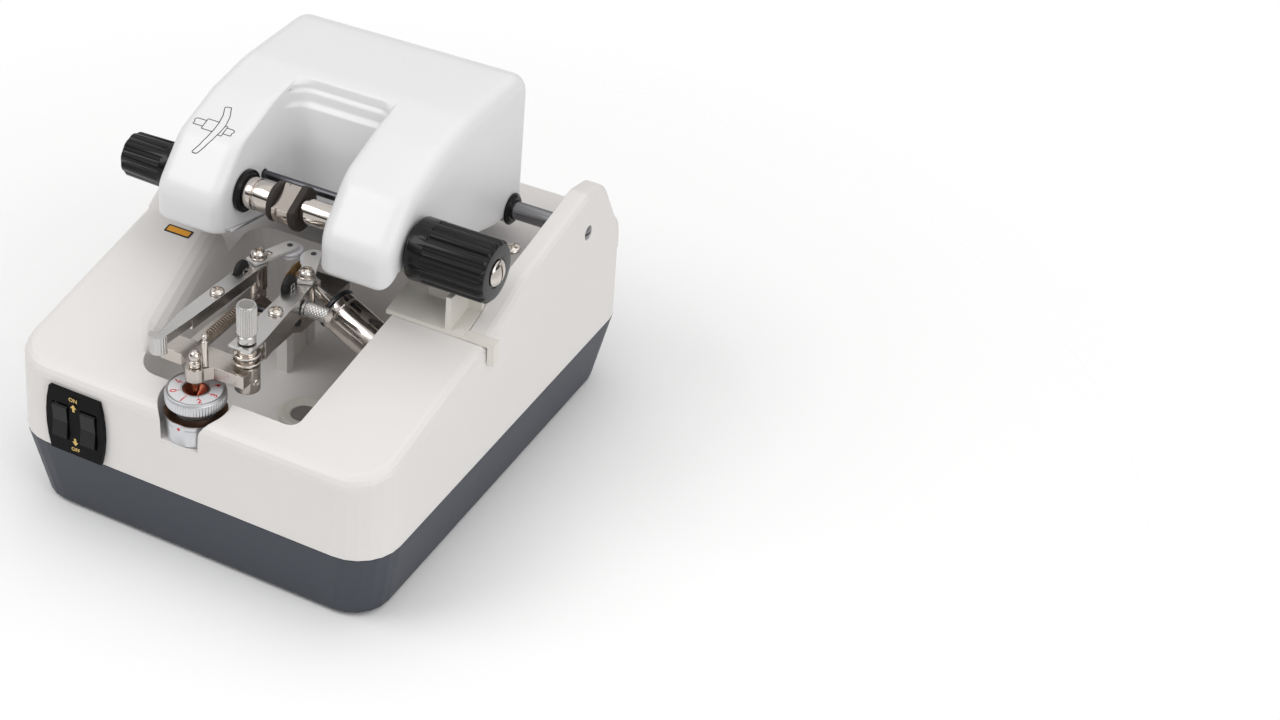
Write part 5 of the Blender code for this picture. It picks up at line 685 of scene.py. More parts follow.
class GrooverColours(bpy.types.PropertyGroup):
    """Colours that a user would change."""

    casing: colour_setting("Casing", "Ivory casing", (0.775, 0.752, 0.735))
    head: colour_setting("Head", "White head cover", (0.815, 0.815, 0.825))
    shield: colour_setting("Shield", "Splash shield", (0.760, 0.735, 0.680))
    pan: colour_setting("Pan", "Slate pan", (0.036, 0.043, 0.058))
    knobs: colour_setting("Knobs", "Black knobs and switches", (0.006, 0.006, 0.0065))
    digits: colour_setting("Digits", "Numbers of the depth dial", (0.62, 0.02, 0.04))
    tab: colour_setting("Tab", "Plain tab on the deck", (0.84, 0.36, 0.01))


class GrooverSizes(bpy.types.PropertyGroup):
    """Counts and depths of the ribs that hands hold."""

    right_ribs: count_setting("Right knob ribs", "Ribs round the right knob", 16)
    left_flutes: count_setting("Left knob flutes", "Flutes round the left knob", 10)
    dial_ribs: count_setting("Dial ribs", "Ribs round the depth dial", 64)
    rib_depth: bpy.props.FloatProperty(
        name="Rib depth", description="Depth of the right knob's grooves", default=0.0013,
        unit="LENGTH",
    )


class GrooverStudio(bpy.types.PropertyGroup):
    """Strengths of the lights."""

    key: power_setting("Key light", "Power of the key light", 9)
    fill: power_setting("Fill light", "Power of the fill light", 7.5)
    sky: bpy.props.FloatProperty(
        name="Sky", description="Strength of the even light", default=0.74
    )


# Operators: one for each piece or group of like pieces

OWN_FINISH = {
    "left_tip_plate": "tip grey", "right_tip_plate": "tip grey", "sync_shaft": "dark_steel",
    "switch_plate": "switch black", "left_ear_screw": "shaft steel",
    "right_ear_screw": "shaft steel",
}


class GROOVER_OT_housing(bpy.types.Operator):
    """Finish the pan, casing, shield and everything that stays as the model has it"""

    bl_idname = "groover.housing"
    bl_label = "Housing"

    def execute(self, context):
        for name, node in frame["nodes"].items():
            node.data.materials.clear()
            node.data.materials.append(finishes()[OWN_FINISH.get(name, NODE_SLOT[name])])
            shade(node.data, 34)
        return {"FINISHED"}


# The head cover, in millimetres
CORNER_STEPS = 8
HEAD_EDGE = 8.5
HEAD_WALL = 2.3
RECESS_FADE = 18
WALL_TOUCH = 0.001


def head_ring(corners, distance, fills):
    """The head's (y, z) outline moved inwards by a distance, with as many points each time."""
    places = [Vector(corner[:2]) for corner in corners]
    count = len(places)
    turned = []
    for i, here in enumerate(places):
        back = (here - places[i - 1]).normalized()
        ahead = (places[(i + 1) % count] - here).normalized()
        first, second = Vector((back.y, -back.x)), Vector((ahead.y, -ahead.x))
        inward = (first + second).normalized()
        here = here + inward * distance / inward.dot(first)
        half = back.angle(ahead) / 2
        reach = max(corners[i][2] - distance, 0.8) * sin(half) / cos(half)
        turned.append(rounding(here - back * reach, here, here + ahead * reach, CORNER_STEPS))
    made = []
    for i, points in enumerate(turned):
        made += points
        following = turned[(i + 1) % count][0]
        made += [points[-1].lerp(following, (k + 1) / (fills[i] + 1)) for k in range(fills[i])]
    return made


def soft_step(value):
    value = min(max(value, 0), 1)
    return value * value * (3 - 2 * value)


def head_columns(left, right, recess):
    """Places across the head: (x, inset, reach inwards, reach short of the recess's wall)."""
    start, end, near, far = recess
    turns = [pi / 2 * i / CORNER_STEPS for i in range(CORNER_STEPS + 1)]

    def edge(corner, way):
        return [
            (corner + way * HEAD_EDGE * (1 - cos(t)), HEAD_EDGE * (1 - sin(t)), 0, 0)
            for t in turns
        ]

    def side(corner, way, lip, foot):
        """One side of the recess: its rounded lip, then its rounded foot."""
        made = [(corner - way * lip * (1 - sin(t)), 0, lip * (1 - cos(t)), 0) for t in turns]
        return made + [
            (corner + way * foot * (1 - cos(t)), 0, 0, foot * (1 - sin(t)) + WALL_TOUCH)
            for t in turns
        ]

    width = end - far[1] - start - near[1]
    return [
        *edge(left, 1),
        ((left + HEAD_EDGE + start - near[0]) / 2, 0, 0, 0),
        *side(start, 1, *near),
        *((start + near[1] + width * k / 5, 0, 0, WALL_TOUCH) for k in range(1, 5)),
        *reversed(side(end, -1, *far)),
        ((right - HEAD_EDGE + end + far[0]) / 2, 0, 0, 0),
        *reversed(edge(right, -1)),
    ]


def recessed(y, z, near, far, front, top, chin):
    """A point of the head's outline, moved back towards the recess's wall with its two steps."""
    wall = front + 60 + 15 * (z - 124) / 66.5
    wall += 2.2 * soft_step((z - top + 14.5) / 2.6) + 1.6 * soft_step((z - top + 7.6) / 1.8)
    depth = wall - y
    depth = (depth + (depth * depth + 6) ** 0.5) / 2 - 0.35
    depth = max(depth, 0) if y < wall + 12 else 0
    fade = min(depth / RECESS_FADE, 1)
    back = max(near * fade if near else depth - far * fade, 0)
    share = min(back / max(depth, 0.01), 1)
    return y + back, z - 11.5 * (1 - soft_step((z - chin) / 30)) * share


def ribbon(bm, line, place, skin, width=0.5):
    """A drawn line on a skin: (u, v) points in millimetres on a place whose Z looks outwards."""
    points = []
    for start, end in zip(line, line[1:]):
        start, end = Vector(start), Vector(end)
        steps = max(1, int((end - start).length / 0.6))
        points += [start.lerp(end, i / steps) for i in range(steps)]
    points.append(Vector(line[-1]))
    inward = -(place.to_3x3() @ Vector((0, 0, 1)))
    rows = []
    for i, here in enumerate(points):
        ahead = (points[min(i + 1, len(points) - 1)] - points[max(i - 1, 0)]).normalized()
        side = Vector((-ahead.y, ahead.x)) * width / 2
        feet = []
        for corner in (here + side, here - side):
            above = place @ Vector((corner.x * MM, corner.y * MM, 0.02))
            spot = skin.ray_cast(above, inward)[0]
            feet += [spot - inward * 0.06 * MM, spot + inward * 0.12 * MM]
        rows.append([bm.verts.new(foot) for foot in (feet[0], feet[2], feet[3], feet[1])])
    bridge(bm, rows)


def picture(name, place, skin):
    """A plain line drawing of a curved lens between two chuck ends."""
    outer = [
        (1.4, 14.6), (4.2, 8.6), (5.3, 2.4), (4.9, -2.6), (3.5, -7.4), (1, -12.2), (-2, -16.4),
    ]
    inner = [
        (-5.3, -16.4), (-2.2, -11.8), (0, -6.6), (0.9, -1.8), (0.9, 2.8), (0.1, 8.4), (-2.2, 14),
    ]
    left = [(-6, 2.1), (-11.8, 2.1), (-12.8, 0.6), (-11.6, -0.6), (-12.4, -2.1), (-6, -2.1)]
    right = [(6.8, 1.4), (11.2, 1.4), (12.2, 0), (11, -1.2), (11.8, -2.8), (6.8, -2.8)]
    bm = bmesh.new()
    for line in (
        eased(outer + inner + outer[:1], 1.2),
        [(0.9, 3.5), (-6, 3.5), (-6, -3.5), (0.9, -3.5)],
        eased(left, 0.8),
        [(5.2, 2.3), (6.8, 2.3), (6.8, -4.4), (4.6, -4.4)],
        eased(right, 0.8),
    ):
        ribbon(bm, line, place, skin)
    return put(name, bm, 30)


class GROOVER_OT_head(bpy.types.Operator):
    """Make the smooth cover of the head, with the recess between its arms"""

    bl_idname = "groover.head"
    bl_label = "Head cover"

    def execute(self, context):
        low, high = (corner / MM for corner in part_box("head_cover"))
        chin, sole = high.z - 59.1, low.z
        # (y, z, radius) of each corner of the side view, and the points between two corners
        corners = [
            (low.y, chin, 3.5), (low.y, high.z - 38.8, 17), (low.y + 21.8, high.z - 15.8, 24),
            (low.y + 54, high.z - 4.6, 40), (low.y + 84, high.z, 60), (high.y, high.z, 13),
            (high.y, sole, 3), (low.y + 113, sole, 2), (low.y + 19, chin, 2),
        ]
        fills = (4, 8, 10, 6, 8, 8, 2, 8, 2)
        recess = (low.x + 39.5, high.x - 42.5, (7, 11), (10, 9))
        bm = bmesh.new()
        rows = []
        for x, inset, near, far in head_columns(low.x, high.x, recess):
            row = []
            for y, z in head_ring(corners, inset, fills):
                if near or far:
                    y, z = recessed(y, z, near, far, low.y, high.z, chin)
                row.append(bm.verts.new((x * MM, y * MM, z * MM)))
            rows.append(row)
        open_from = (CORNER_STEPS + 1) * 6 + sum(fills[:6]) + CORNER_STEPS
        bridge(bm, rows, skip=range(open_from, len(rows[0])))
        shell = put("head_shell", bm, 50)
        thick = shell.modifiers.new("Wall", "SOLIDIFY")
        thick.thickness = HEAD_WALL * MM
        thick.offset = -1
        cutters = []
        for node, radius, start, end, steps in (
            ("hinge_shaft", 8.4, low.x, high.x, 64),
            ("clamp_shaft", 7.2, low.x, high.x, 64),
            ("sync_shaft", 2.9, recess[0], recess[1], 32),
        ):
            centre = span(node)[2]
            width = end - start + 10
            cutters.append(lathe(
                "hole", [(0, 0), (radius, 0), (radius, width), (0, width)],
                at((start - 5) * MM, centre.y, centre.z) @ TO_X, steps, 0,
            ))
        mesh = carved(shell, *cutters).data
        skin = BVHTree.FromPolygons(
            [v.co for v in mesh.vertices], [face.vertices for face in mesh.polygons]
        )
        place = at((low.x + 20) * MM, (low.y + 28.7) * MM, (high.z - 13.5) * MM)
        drawing = picture("chuck_picture", place @ spun(atan2(11.2, 32.2), "X"), skin)
        dress(drawing, "line ink", on="head_cover")
        dress(shell, "white_plastic", "head_cover")
        return {"FINISHED"}


class GROOVER_OT_knobs(bpy.types.Operator):
    """Make both black chuck knobs and the slotted screw"""

    bl_idname = "groover.knobs"
    bl_label = "Knobs"

    def execute(self, context):
        sizes = context.scene.groover_sizes
        place, length = on_x("right_knob")
        depth = sizes.rib_depth / MM
        plain = length * 0.20 + 2
        dress(ribbed("right_knob_moulding", [
            (9, 0.1), (9, 6.4), (0, 6.4), (0, 6.6), (0, 13.1), (0.4, 13.5), (1.8, 13.5), (2, 13.8),
            (2, 15.6), (2.3, 16.2), (2.9, 16.5), (plain, 16.5), (plain + 0.25, 16.5, depth * 0.65),
            (plain + 0.8, 16.5, depth), (length - 2.6, 16.5, depth),
            (length - 1.6, 16.2, depth * 0.9), (length - 0.5, 15.2, depth * 0.45),
            (length - 0.1, 14.6, 0.05), (length, 14), (length, 8.2), (length - 0.5, 7.8),
        ], place, sizes.right_ribs, steps=12, sharp=2.2), "black_plastic", "right_knob")

        place, length = on_x("left_knob")
        dress(ribbed("left_knob_moulding", [
            (0, 8), (0, 10.6), (0.3, 11.4, 0.5), (1.1, 12, 1.3), (length * 0.79, 12.5, 1.5),
            (length * 0.80, 12.5, 1), (length * 0.81, 12.5), (length - 1.1, 12.5),
            (length - 0.3, 12.2), (length, 11.6), (length, 6),
        ], place, sizes.left_flutes, steps=14, sharp=1.6), "black_plastic", "left_knob")

        low, high, centre = span("knob_screw")
        head = high.x - 2.8 * MM
        tail = (low.x - head) / MM
        screw = lathe("knob_screw_head", [
            (0, 2.8), (2.2, 2.68), (4.2, 2.2), (5.8, 1.35), (6.7, 0.6), (7, 0.1), (7, -0.2),
            (2.4, -0.2), (2.4, tail), (0, tail),
        ], at(head, centre.y, centre.z) @ TO_X, ease=0.3)
        slot = brick(
            (head + 1.3 * MM, centre.y - 0.75 * MM, centre.z - 9 * MM),
            (head + 5 * MM, centre.y + 0.75 * MM, centre.z + 9 * MM),
        )
        dress(carved(screw, slot), "chrome", "knob_screw")
        return {"FINISHED"}


def chuck_gear(name, low, high):
    """The gear on a chuck shaft, one tooth pointing at the shaft that joins both chucks."""
    centre = span("clamp_pad")[2]
    width = high - low
    return ribbed(name, [
        (0, 5), (0, 11), (0, 12.7, 1.9), (width, 12.7, 1.9), (width, 11), (width, 5),
    ], at(low * MM, centre.y, centre.z) @ TO_X @ QUARTER, 24, sharp=1, smooth=30)


class GROOVER_OT_chuck(bpy.types.Operator):
    """Make the turned pieces of the lens chuck"""

    bl_idname = "groover.chuck"
    bl_label = "Chuck"

    def execute(self, context):
        centre = span("clamp_pad")[2]
        place = at(0, centre.y, centre.z) @ TO_X

        def flattened(made, node, reach):
            """Cut the flat side that lens holders have, at a reach from the axis."""
            low, high = ends_x(node)
            flat = brick((-0.012, -0.030, reach * MM), (0.012, 0.030, 0.030))
            flat.matrix_world = (
                at((low + high) / 2 * MM, centre.y, centre.z) @ spun(radians(28), "X")
            )
            return carved(made, flat)

        low, high = ends_x("left_chuck_bush")
        dress(lathe("chuck_bush_ring", [
            (11.5, high - 0.5), (11.5, low), (6.4, low), (6.4, high), (9.4, high),
            (9.8, high - 0.35), (10.8, high - 0.35), (11, high - 0.2),
        ], place), "black_plastic", "left_chuck_bush")

        tail, end = ends_x("chuck_shaft")
        start = high + 0.3
        sleeve = ends_x("cushion_ring")[0] - 0.3
        groove = sleeve - 10.7
        shaft = lathe("chuck_sleeve", [
            (0, end), (3.1, end), (3.5, end - 0.4), (3.5, sleeve), (7.5, sleeve),
            (8.2, sleeve - 0.6), (8.2, groove + 1), (7.3, groove + 0.9), (7.3, groove),
            (8.5, groove - 0.1), (8.5, start + 0.4), (8.3, start), (6, start), (6, tail),
            (0, tail),
        ], place)
        gear = ends_x("sync_shaft")[0] + 1
        pieces = [shaft, chuck_gear("chuck_gear", gear, gear + 5)]
        dress(gather("chuck_turning", pieces), "chrome", "chuck_shaft")
        for name, turn in (("sleeve_set_screw_a", 0), ("sleeve_set_screw_b", 2.2)):
            spot = place @ spun(radians(-62) + turn) @ at(8 * MM, 0, (groove + 2.4) * MM)
            dress(lathe(name, [
                (0, -0.35), (0.9, -0.35), (0.9, 0.15), (1.5, 0.15), (1.7, 0), (1.7, -0.8),
                (0, -0.8),
            ], spot @ TO_X, 24, 0.1), "dark_steel", on="chuck_shaft")

        low, high = ends_x("cushion_ring")
        reach = on_z("cushion_ring")[1] / 2
        dress(lathe("cushion_ring_rubber", [
            (reach, high), (reach, low), (3.8, low), (3.8, high),
        ], place, ease=0.7), "ring brown", "cushion_ring")
        low, high = ends_x("clamp_pad")
        reach = on_z("clamp_pad")[1] / 2
        pad = lathe("clamp_pad_rubber", [
            (0, high), (reach * 0.6, high), (reach, high), (reach, low), (0, low),
        ], place, ease=0.8)
        dress(flattened(pad, "clamp_pad", 8.2), "ring brown", "clamp_pad")

        low, high = ends_x("clamp_head")
        head = lathe("clamp_head_turning", [
            (10.5, high - 0.2), (10.5, low + 3.4), (9.6, low + 3.2), (9.6, low + 2.4),
            (10.5, low + 2.2), (10.5, low), (3.8, low), (3.8, high), (10.1, high),
        ], place, ease=0.35)
        dress(flattened(head, "clamp_head", 6.5), "pin metal", "clamp_head")

        low, high = ends_x("clamp_shaft")
        shaft = lathe("clamp_shaft_turning", [
            (0, high), (6, high), (6, low + 22.6), (6.8, low + 22.4), (6.8, low + 0.5), (6.3, low),
            (0, low),
        ], place)
        pieces = [shaft, chuck_gear("clamp_gear", low + 25.5, low + 28)]
        dress(gather("clamp_turning", pieces), "chrome", "clamp_shaft")
        return {"FINISHED"}


class GROOVER_OT_wheel(bpy.types.Operator):
    """Make the grooving wheel, its spindle, and the motor's tube and ring"""

    bl_idname = "groover.wheel"
    bl_label = "Grooving wheel"

    def execute(self, context):
        place = joint_place("wheel_spin")
        dress(lathe("wheel_turning", [
            (5.2, 0.8), (6.4, 0.62), (9.9, 0.38), (10.5, 0.12), (10.5, -0.12), (9.9, -0.38),
            (6.4, -0.62), (5.2, -0.8), (3.1, -0.8), (3.1, 0.8),
        ], place, 96, 0.1), "sintered_bronze", "grooving_wheel")
        dress(lathe("spindle_turning", [
            (0, 29.9), (2.8, 29.9), (2.8, 14.1), (3.6, 14.1), (4.4, 13.4), (5.2, 12.6), (5.2, 8),
            (4.8, 7.8), (4.8, 7), (5.2, 6.8), (5.2, 1.1), (2.8, 1.1), (2.8, -1.1), (4.4, -1.1),
            (4.4, -3), (3.9, -3.5), (0, -3.5),
        ], place), "chrome", "wheel_spindle")
        dress(lathe("ring_turning", [
            (11.6, 30), (11.6, 28.5), (11.1, 28), (7, 28), (6.6, 28.5), (3.2, 28.5), (3.2, 30.2),
            (11.2, 30.2),
        ], place, 96), "dark_steel", "motor_ring")
        barrel = lathe("motor_tube", [
            (0, 90.5), (10.2, 90.5), (11, 89.6), (11, 36.2), (10.7, 36), (10.7, 35.2), (11, 35),
            (11, 30.9), (10.6, 30.5), (0, 30.5),
        ], place, 96)
        slots = []
        for turn in (40, 205):
            slot = brick((0.0104, -0.0012, 0.0375), (0.0135, 0.0012, 0.0455), 0.0011)
            slot.matrix_world = place @ spun(radians(turn))
            slots.append(slot)
        dress(carved(barrel, *slots), "chrome", "groover_motor")
        return {"FINISHED"}


class GROOVER_OT_fittings(bpy.types.Operator):
    """Make the screws, pins and rollers of the guide arms"""

    bl_idname = "groover.fittings"
    bl_label = "Guide fittings"

    def execute(self, context):
        low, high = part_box("left_tip_plate")
        under, top = low.z, high.z
        pivots = {
            "left": joint_place("left_arm_swing").translation,
            "right": span("right_pivot_screw")[2],
        }
        for side, x, y in (("left", -1.5, -36), ("right", 2.9, -33.5)):
            pivot = pivots[side]
            spot = at(pivot.x + x * MM, pivot.y + y * MM, under - 0.3 * MM)
            dress(pan_head(side + "_arm_screw", 3.9, 2.6, spot), "chrome", on=side + "_guide_arm")
        for side, pivot in pivots.items():
            plate = side + "_tip_plate"
            tip = span(side + "_roller")[2]
            spot = pivot.lerp(tip, 0.34)
            screw = pan_head(side + "_tip_screw", 1.7, 1.2, at(spot.x, spot.y, top))
            dress(screw, "chrome", on=plate)
            dress(lathe(side + "_tip_pin", [
                (0, 0.16), (0.9, 0.16), (1, 0.28), (1.45, 0.28), (1.55, 0), (0, 0),
            ], at(tip.x, tip.y, top), 32, 0.04), "dark_steel", on=plate)
        for side in pivots:
            node = side + "_pivot_screw"
            low, high, centre = span(node)
            height, foot = (high.z - top) / MM, (low.z - top) / MM
            place = at(centre.x, centre.y, top)
            head = lathe(node + "_head", [
                *hung(height, [(0, 0), (1.8, -0.12), (3.2, -0.7), (4, -1.7), (4.1, -2.3)]),
                (3.7, height - 2.5), (3.7, 1.15), (4.6, 1.1), (4.6, 0.35), (1.8, 0.35),
                (1.8, foot), (0, foot),
            ], place, 48, 0.15)
            dress(carved(head, *cross_slot(place, height, 2.5, 0.95, 1.2)), "chrome", node)
        for side in pivots:
            node = side + "_roller"
            dress(lathe(node + "_turning", [
                (0, 3.8), (6.4, 3.8), (7, 3.3), (7, 2.5), (6.1, 1.9), (7, 1.3), (7, 0.5), (6.4, 0),
                (0, 0),
            ], on_z(node)[0]), "white_nylon", node)
        return {"FINISHED"}


class GROOVER_OT_lock(bpy.types.Operator):
    """Make the knob that opens the arms, with its washers and set screw"""

    bl_idname = "groover.lock"
    bl_label = "Arm lock"

    def execute(self, context):
        low, high, centre = span("lock_knob")
        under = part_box("left_tip_plate")[0].z
        top, stem = (high.z - under) / MM, (low.z - under) / MM
        place = at(centre.x, centre.y, under)
        dress(ribbed("lock_knob_turning", [
            (0.3, 4.5), (0.6, 4.7), (3.9, 4.7), (4.2, 4.4), (4.6, 4.1), (4.9, 4.6),
            (5.3, 5.05, 0.35), (6, 5.2, 0.55), (top - 1.5, 5.2, 0.55), (top - 0.9, 5.05, 0.35),
            (top - 0.3, 4.85), (top, 4.6), (top, 4), (top - 0.15, 3.8), (top - 0.15, 0.4),
        ], place, 24, sharp=0.9, smooth=30), "bright_steel", "lock_knob")
        face = lathe(
            "lock_knob_face", [(0, 0), (0, 0.1), (3.9, 0.1), (4.1, 0)],
            at(centre.x, centre.y, high.z - 0.14 * MM), 64, 0.02,
        )
        dress(face, "knob top", on="lock_knob")
        stud = lathe("lock_stud", [(0, 0), (2.2, 0), (2.2, stem), (0, stem)], place, 32)
        dress(stud, "chrome", on="lock_knob")

        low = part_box("lock_ring")[0]
        dress(lathe("lock_washer_pair", [
            (4.9, 0), (2.6, 0), (2.6, 4), (4.9, 4), (4.9, 3.2), (7, 3.2), (7.2, 3), (7.2, 2.2),
            (7, 2), (4.9, 2),
        ], at(centre.x, centre.y, low.z), 96, 0.12), "chrome", "lock_ring")
        low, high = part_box("lock_washer")
        top = (high.z - low.z) / MM
        dress(lathe("lock_washer_stack", [
            (4.7, top), (4.9, top - 0.3), (4.9, 3.3), (4.7, 3), (6.7, 3), (7, 2.7), (7, 1.9),
            (6.7, 1.6), (4.6, 1.6), (4.6, 0), (2.6, 0), (2.6, top),
        ], at(centre.x, centre.y, low.z), 96, 0.15), "chrome", "lock_washer")
        turn, reach = radians(-12), 6.4 * MM
        boss = at(centre.x + reach * cos(turn), centre.y + reach * sin(turn), low.z - 12.9 * MM)
        dress(lathe("boss_set_screw", [
            (0, -0.2), (0.9, -0.2), (1, 0.5), (1.9, 0.6), (2.2, 0.3), (2.2, -0.6), (0, -0.6),
        ], boss @ spun(turn) @ TO_X, 32, 0.1), "chrome", on="lever_casting")
        return {"FINISHED"}


class GROOVER_OT_screws(bpy.types.Operator):
    """Make the return spring with its post, the depth screw and the thumb screw"""

    bl_idname = "groover.screws"
    bl_label = "Spring and screws"

    def execute(self, context):
        place, top = on_z("spring_post")
        dress(lathe("spring_post_turning", [
            *hung(top, [
                (0, 0), (0.8, -0.15), (1.45, -0.7), (1.65, -1.5), (1.45, -2.3), (1, -2.9),
                (1, -3.7), (1.5, -4.1), (1.65, -4.4),
            ]), (1.65, 0), (0, 0),
        ], place, 48, 0.2), "chrome", "spring_post")

        low, high, centre = (corner / MM for corner in span("return_spring"))
        start, end = low.y + 1, high.y - 1
        turns, steps, radius = 16, 24, (high.z - low.z) / 2 - 0.45
        points = [(centre.x, start - 0.9, centre.z), (centre.x, start, centre.z)]
        for i in range(1, turns * steps):
            swing = tau * i / steps
            reach = radius * min(1, i / steps, (turns * steps - i) / steps)
            along = start + (end - start) * i / (turns * steps)
            points.append((centre.x + reach * cos(swing), along, centre.z + reach * sin(swing)))
        points += [(centre.x, end, centre.z), (centre.x, end + 0.9, centre.z)]
        dress(tube("spring_wire", points, 0.40), "bronze", "return_spring")

        place, top = on_z("depth_screw")
        dress(lathe("depth_screw_turning", [
            *hung(top, [
                (0, 0), (1.2, -0.24), (2.2, -0.9), (2.9, -2), (3.1, -3.1), (2.9, -4.2),
                (2.2, -5.1), (1.9, -5.5), (2.2, -5.9), (3, -6.2), (3.1, -6.6), (3.1, -8.8),
                (2.5, -8.9), (2.5, -16.3),
            ]), (1.9, 4), (0.5, 0.4), (0, 0),
        ], place, 48, 0.2), "chrome", "depth_screw")

        place, length = on_x("thumb_screw")
        shank = lathe("thumb_screw_flange", [
            (0, 7.5), (3.2, 7.5), (3.2, 7.2), (4.6, 7), (4.6, 6.2), (4.3, 6), (1.5, 6), (1.5, 0.2),
            (1.3, 0), (0, 0),
        ], place, 48, 0.12)
        pieces = [shank, knurled("thumb_knurl", 4, 7.4, length, place, 14, 0.4)]
        dress(gather("thumb_screw_turning", pieces, 50), "bright_steel", "thumb_screw")
        return {"FINISHED"}


class GROOVER_OT_dial(bpy.types.Operator):
    """Make the depth dial with its numbers, its funnel and its block"""

    bl_idname = "groover.dial"
    bl_label = "Depth dial"

    def execute(self, context):
        place, top = on_z("depth_dial")
        low, high, centre = span("depth_dial")
        rim = top - 7.3
        dress(ribbed("dial_turning", [
            (0, 6.5), (0, 9.6), (0.3, 10), (rim - 0.3, 10), (rim, 10.4), (rim, 14.6),
            (rim + 0.5, 15.3, 0.1), (rim + 0.9, 15.6, 0.55), (top - 1.9, 15.6, 0.55),
            (top - 1.5, 15.35, 0.1), (top - 1.2, 15), (top - 0.15, 14.9), (top, 14.6),
            (top - 0.25, 14.2), (top - 0.3, 13.6), (top - 0.3, 7.4), (top - 0.1, 7.1),
            (top - 0.1, 6.7), (top - 0.4, 6.5),
        ], place, context.scene.groover_sizes.dial_ribs, steps=6, sharp=1, bored=True),
            "aluminium", "depth_dial")
        face = high.z - 0.3 * MM
        enamel = lathe(
            "dial_face", [(13.6, 0.06), (13.6, 0), (7.5, 0), (7.5, 0.06)],
            at(centre.x, centre.y, face), 96, 0,
        )
        dress(enamel, "dial white", on="depth_dial")
        marks = []
        for number in range(8):
            turn = radians(223) + tau * number / 8
            spin = at(centre.x, centre.y, face + 0.09 * MM) @ spun(turn)
            spot = spin @ at(11.4 * MM, 0, 0) @ QUARTER
            marks.append(letters("digit", str(number), 4.9, spot, 0.07))
            tick = [(7.6, -0.2), (9.3, -0.2), (9.3, 0.2), (7.6, 0.2)]
            marks.append(slab("tick", tick, spin, 0.06))
        dress(gather("dial_numbers", marks), "red ink", on="depth_dial")

        place, top = on_z("dial_funnel")
        dress(lathe("funnel_turning", [
            *hung(top - 4.7, [(0, 0), (1, 0.1)]),
            *hung(top, [(5.4, -0.15), (5.8, 0), (6.2, -0.2), (6.2, -11.8), (3, -11.9)]),
            (3, 0), (0, 0),
        ], place), "copper", "dial_funnel")

        low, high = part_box("dial_block")
        place, top = at(centre.x, centre.y, low.z), (high.z - low.z) / MM
        sill = top - 12.4
        block = lathe("dial_block_turning", [
            *hung(top, [
                (3.45, 0), (15.4, 0), (16, -0.6), (16, -2.2), (15.7, -2.5), (16, -2.8),
            ]), (16, sill + 0.4), (15.6, sill), (12, sill), (12, 0), (3.45, 0),
        ], place, 96)

        def front(y):
            """A cutter for everything before a plane at the front of the block."""
            return brick(
                (centre.x - 0.02, low.y - 0.01, low.z - 0.01), (centre.x + 0.02, y, high.z + 0.01)
            )

        flats = [front(low.y)]
        for side in (-1, 1):
            facet = brick((-0.02, -0.01, -0.03), (0.02, 0, 0.05))
            facet.matrix_world = place @ spun(radians(48 * side)) @ at(0, -15.4 * MM, 0)
            flats.append(facet)
        dress(carved(block, *flats), "aluminium", "dial_block")
        rim = lathe("block_rim", [
            (15.9, 0.5), (15.9, 0), (10.6, 0), (10.6, 0.35), (15.4, 0.55),
        ], at(centre.x, centre.y, high.z - 0.1 * MM), 96, 0.1)
        dress(carved(rim, front(low.y + 0.05 * MM)), "brown rim", on="dial_block")
        dot = lathe(
            "index_dot", [(0, 0.12), (0.75, 0.1), (0.9, 0), (0, 0)],
            at(centre.x - 0.1 * MM, low.y, high.z - 3 * MM) @ TO_FRONT, 24, 0.03,
        )
        dress(dot, "red ink", on="dial_block")
        return {"FINISHED"}


class GROOVER_OT_switches(bpy.types.Operator):
    """Print the switch plate's arrows and words"""

    bl_idname = "groover.switches"
    bl_label = "Switches"

    def execute(self, context):
        low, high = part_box("switch_plate")
        x, z = (low.x + high.x) / 2, (low.z + high.z) / 2
        arrow = [
            (-0.7, -2), (0.7, -2), (0.7, 0.1), (1.9, 0.1), (0, 2.5), (-1.9, 0.1), (-0.7, 0.1),
        ]

        def spot(height):
            return at(x, low.y - 0.02 * MM, z + height * MM) @ TO_FRONT

        marks = [
            slab("arrow", arrow, spot(-10.4) @ spun(pi), 0.05),
            slab("arrow", arrow, spot(10.4), 0.05),
            letters("on", "ON", 3.3, spot(15.4), 0.06),
            letters("off", "OFF", 3, spot(-15.4), 0.06),
        ]
        dress(gather("switch_marks", marks), "gold ink", on="switch_plate")
        return {"FINISHED"}


class GROOVER_OT_hinge(bpy.types.Operator):
    """Make the hinge shaft and its two bushes"""

    bl_idname = "groover.hinge"
    bl_label = "Hinge"

    def execute(self, context):
        for node in ("left_hinge_bush", "right_hinge_bush"):
            place, length = on_x(node)
            if node.startswith("left"):
                place = place @ at(0, 0, length * MM) @ spun(pi, "X")
            dress(lathe(node + "_turning", [
                (6.6, 2.6), (7.4, 2.4), (8.2, 1.5), (8.8, 1.2), (8.8, 0), (5.3, 0), (5.3, 2.6),
            ], place, 64, 0.2), "black_plastic", node)
        place, length = on_x("hinge_shaft")
        radius = on_z("hinge_shaft")[1] / 2
        dress(lathe("hinge_shaft_turning", [
            (0, length), (radius - 0.6, length), (radius, length - 0.6), (radius, 0.6),
            (radius - 0.6, 0), (0, 0),
        ], place, 64, 0.1), "shaft steel", "hinge_shaft")
        return {"FINISHED"}


DECK_SLOPE = 0.19


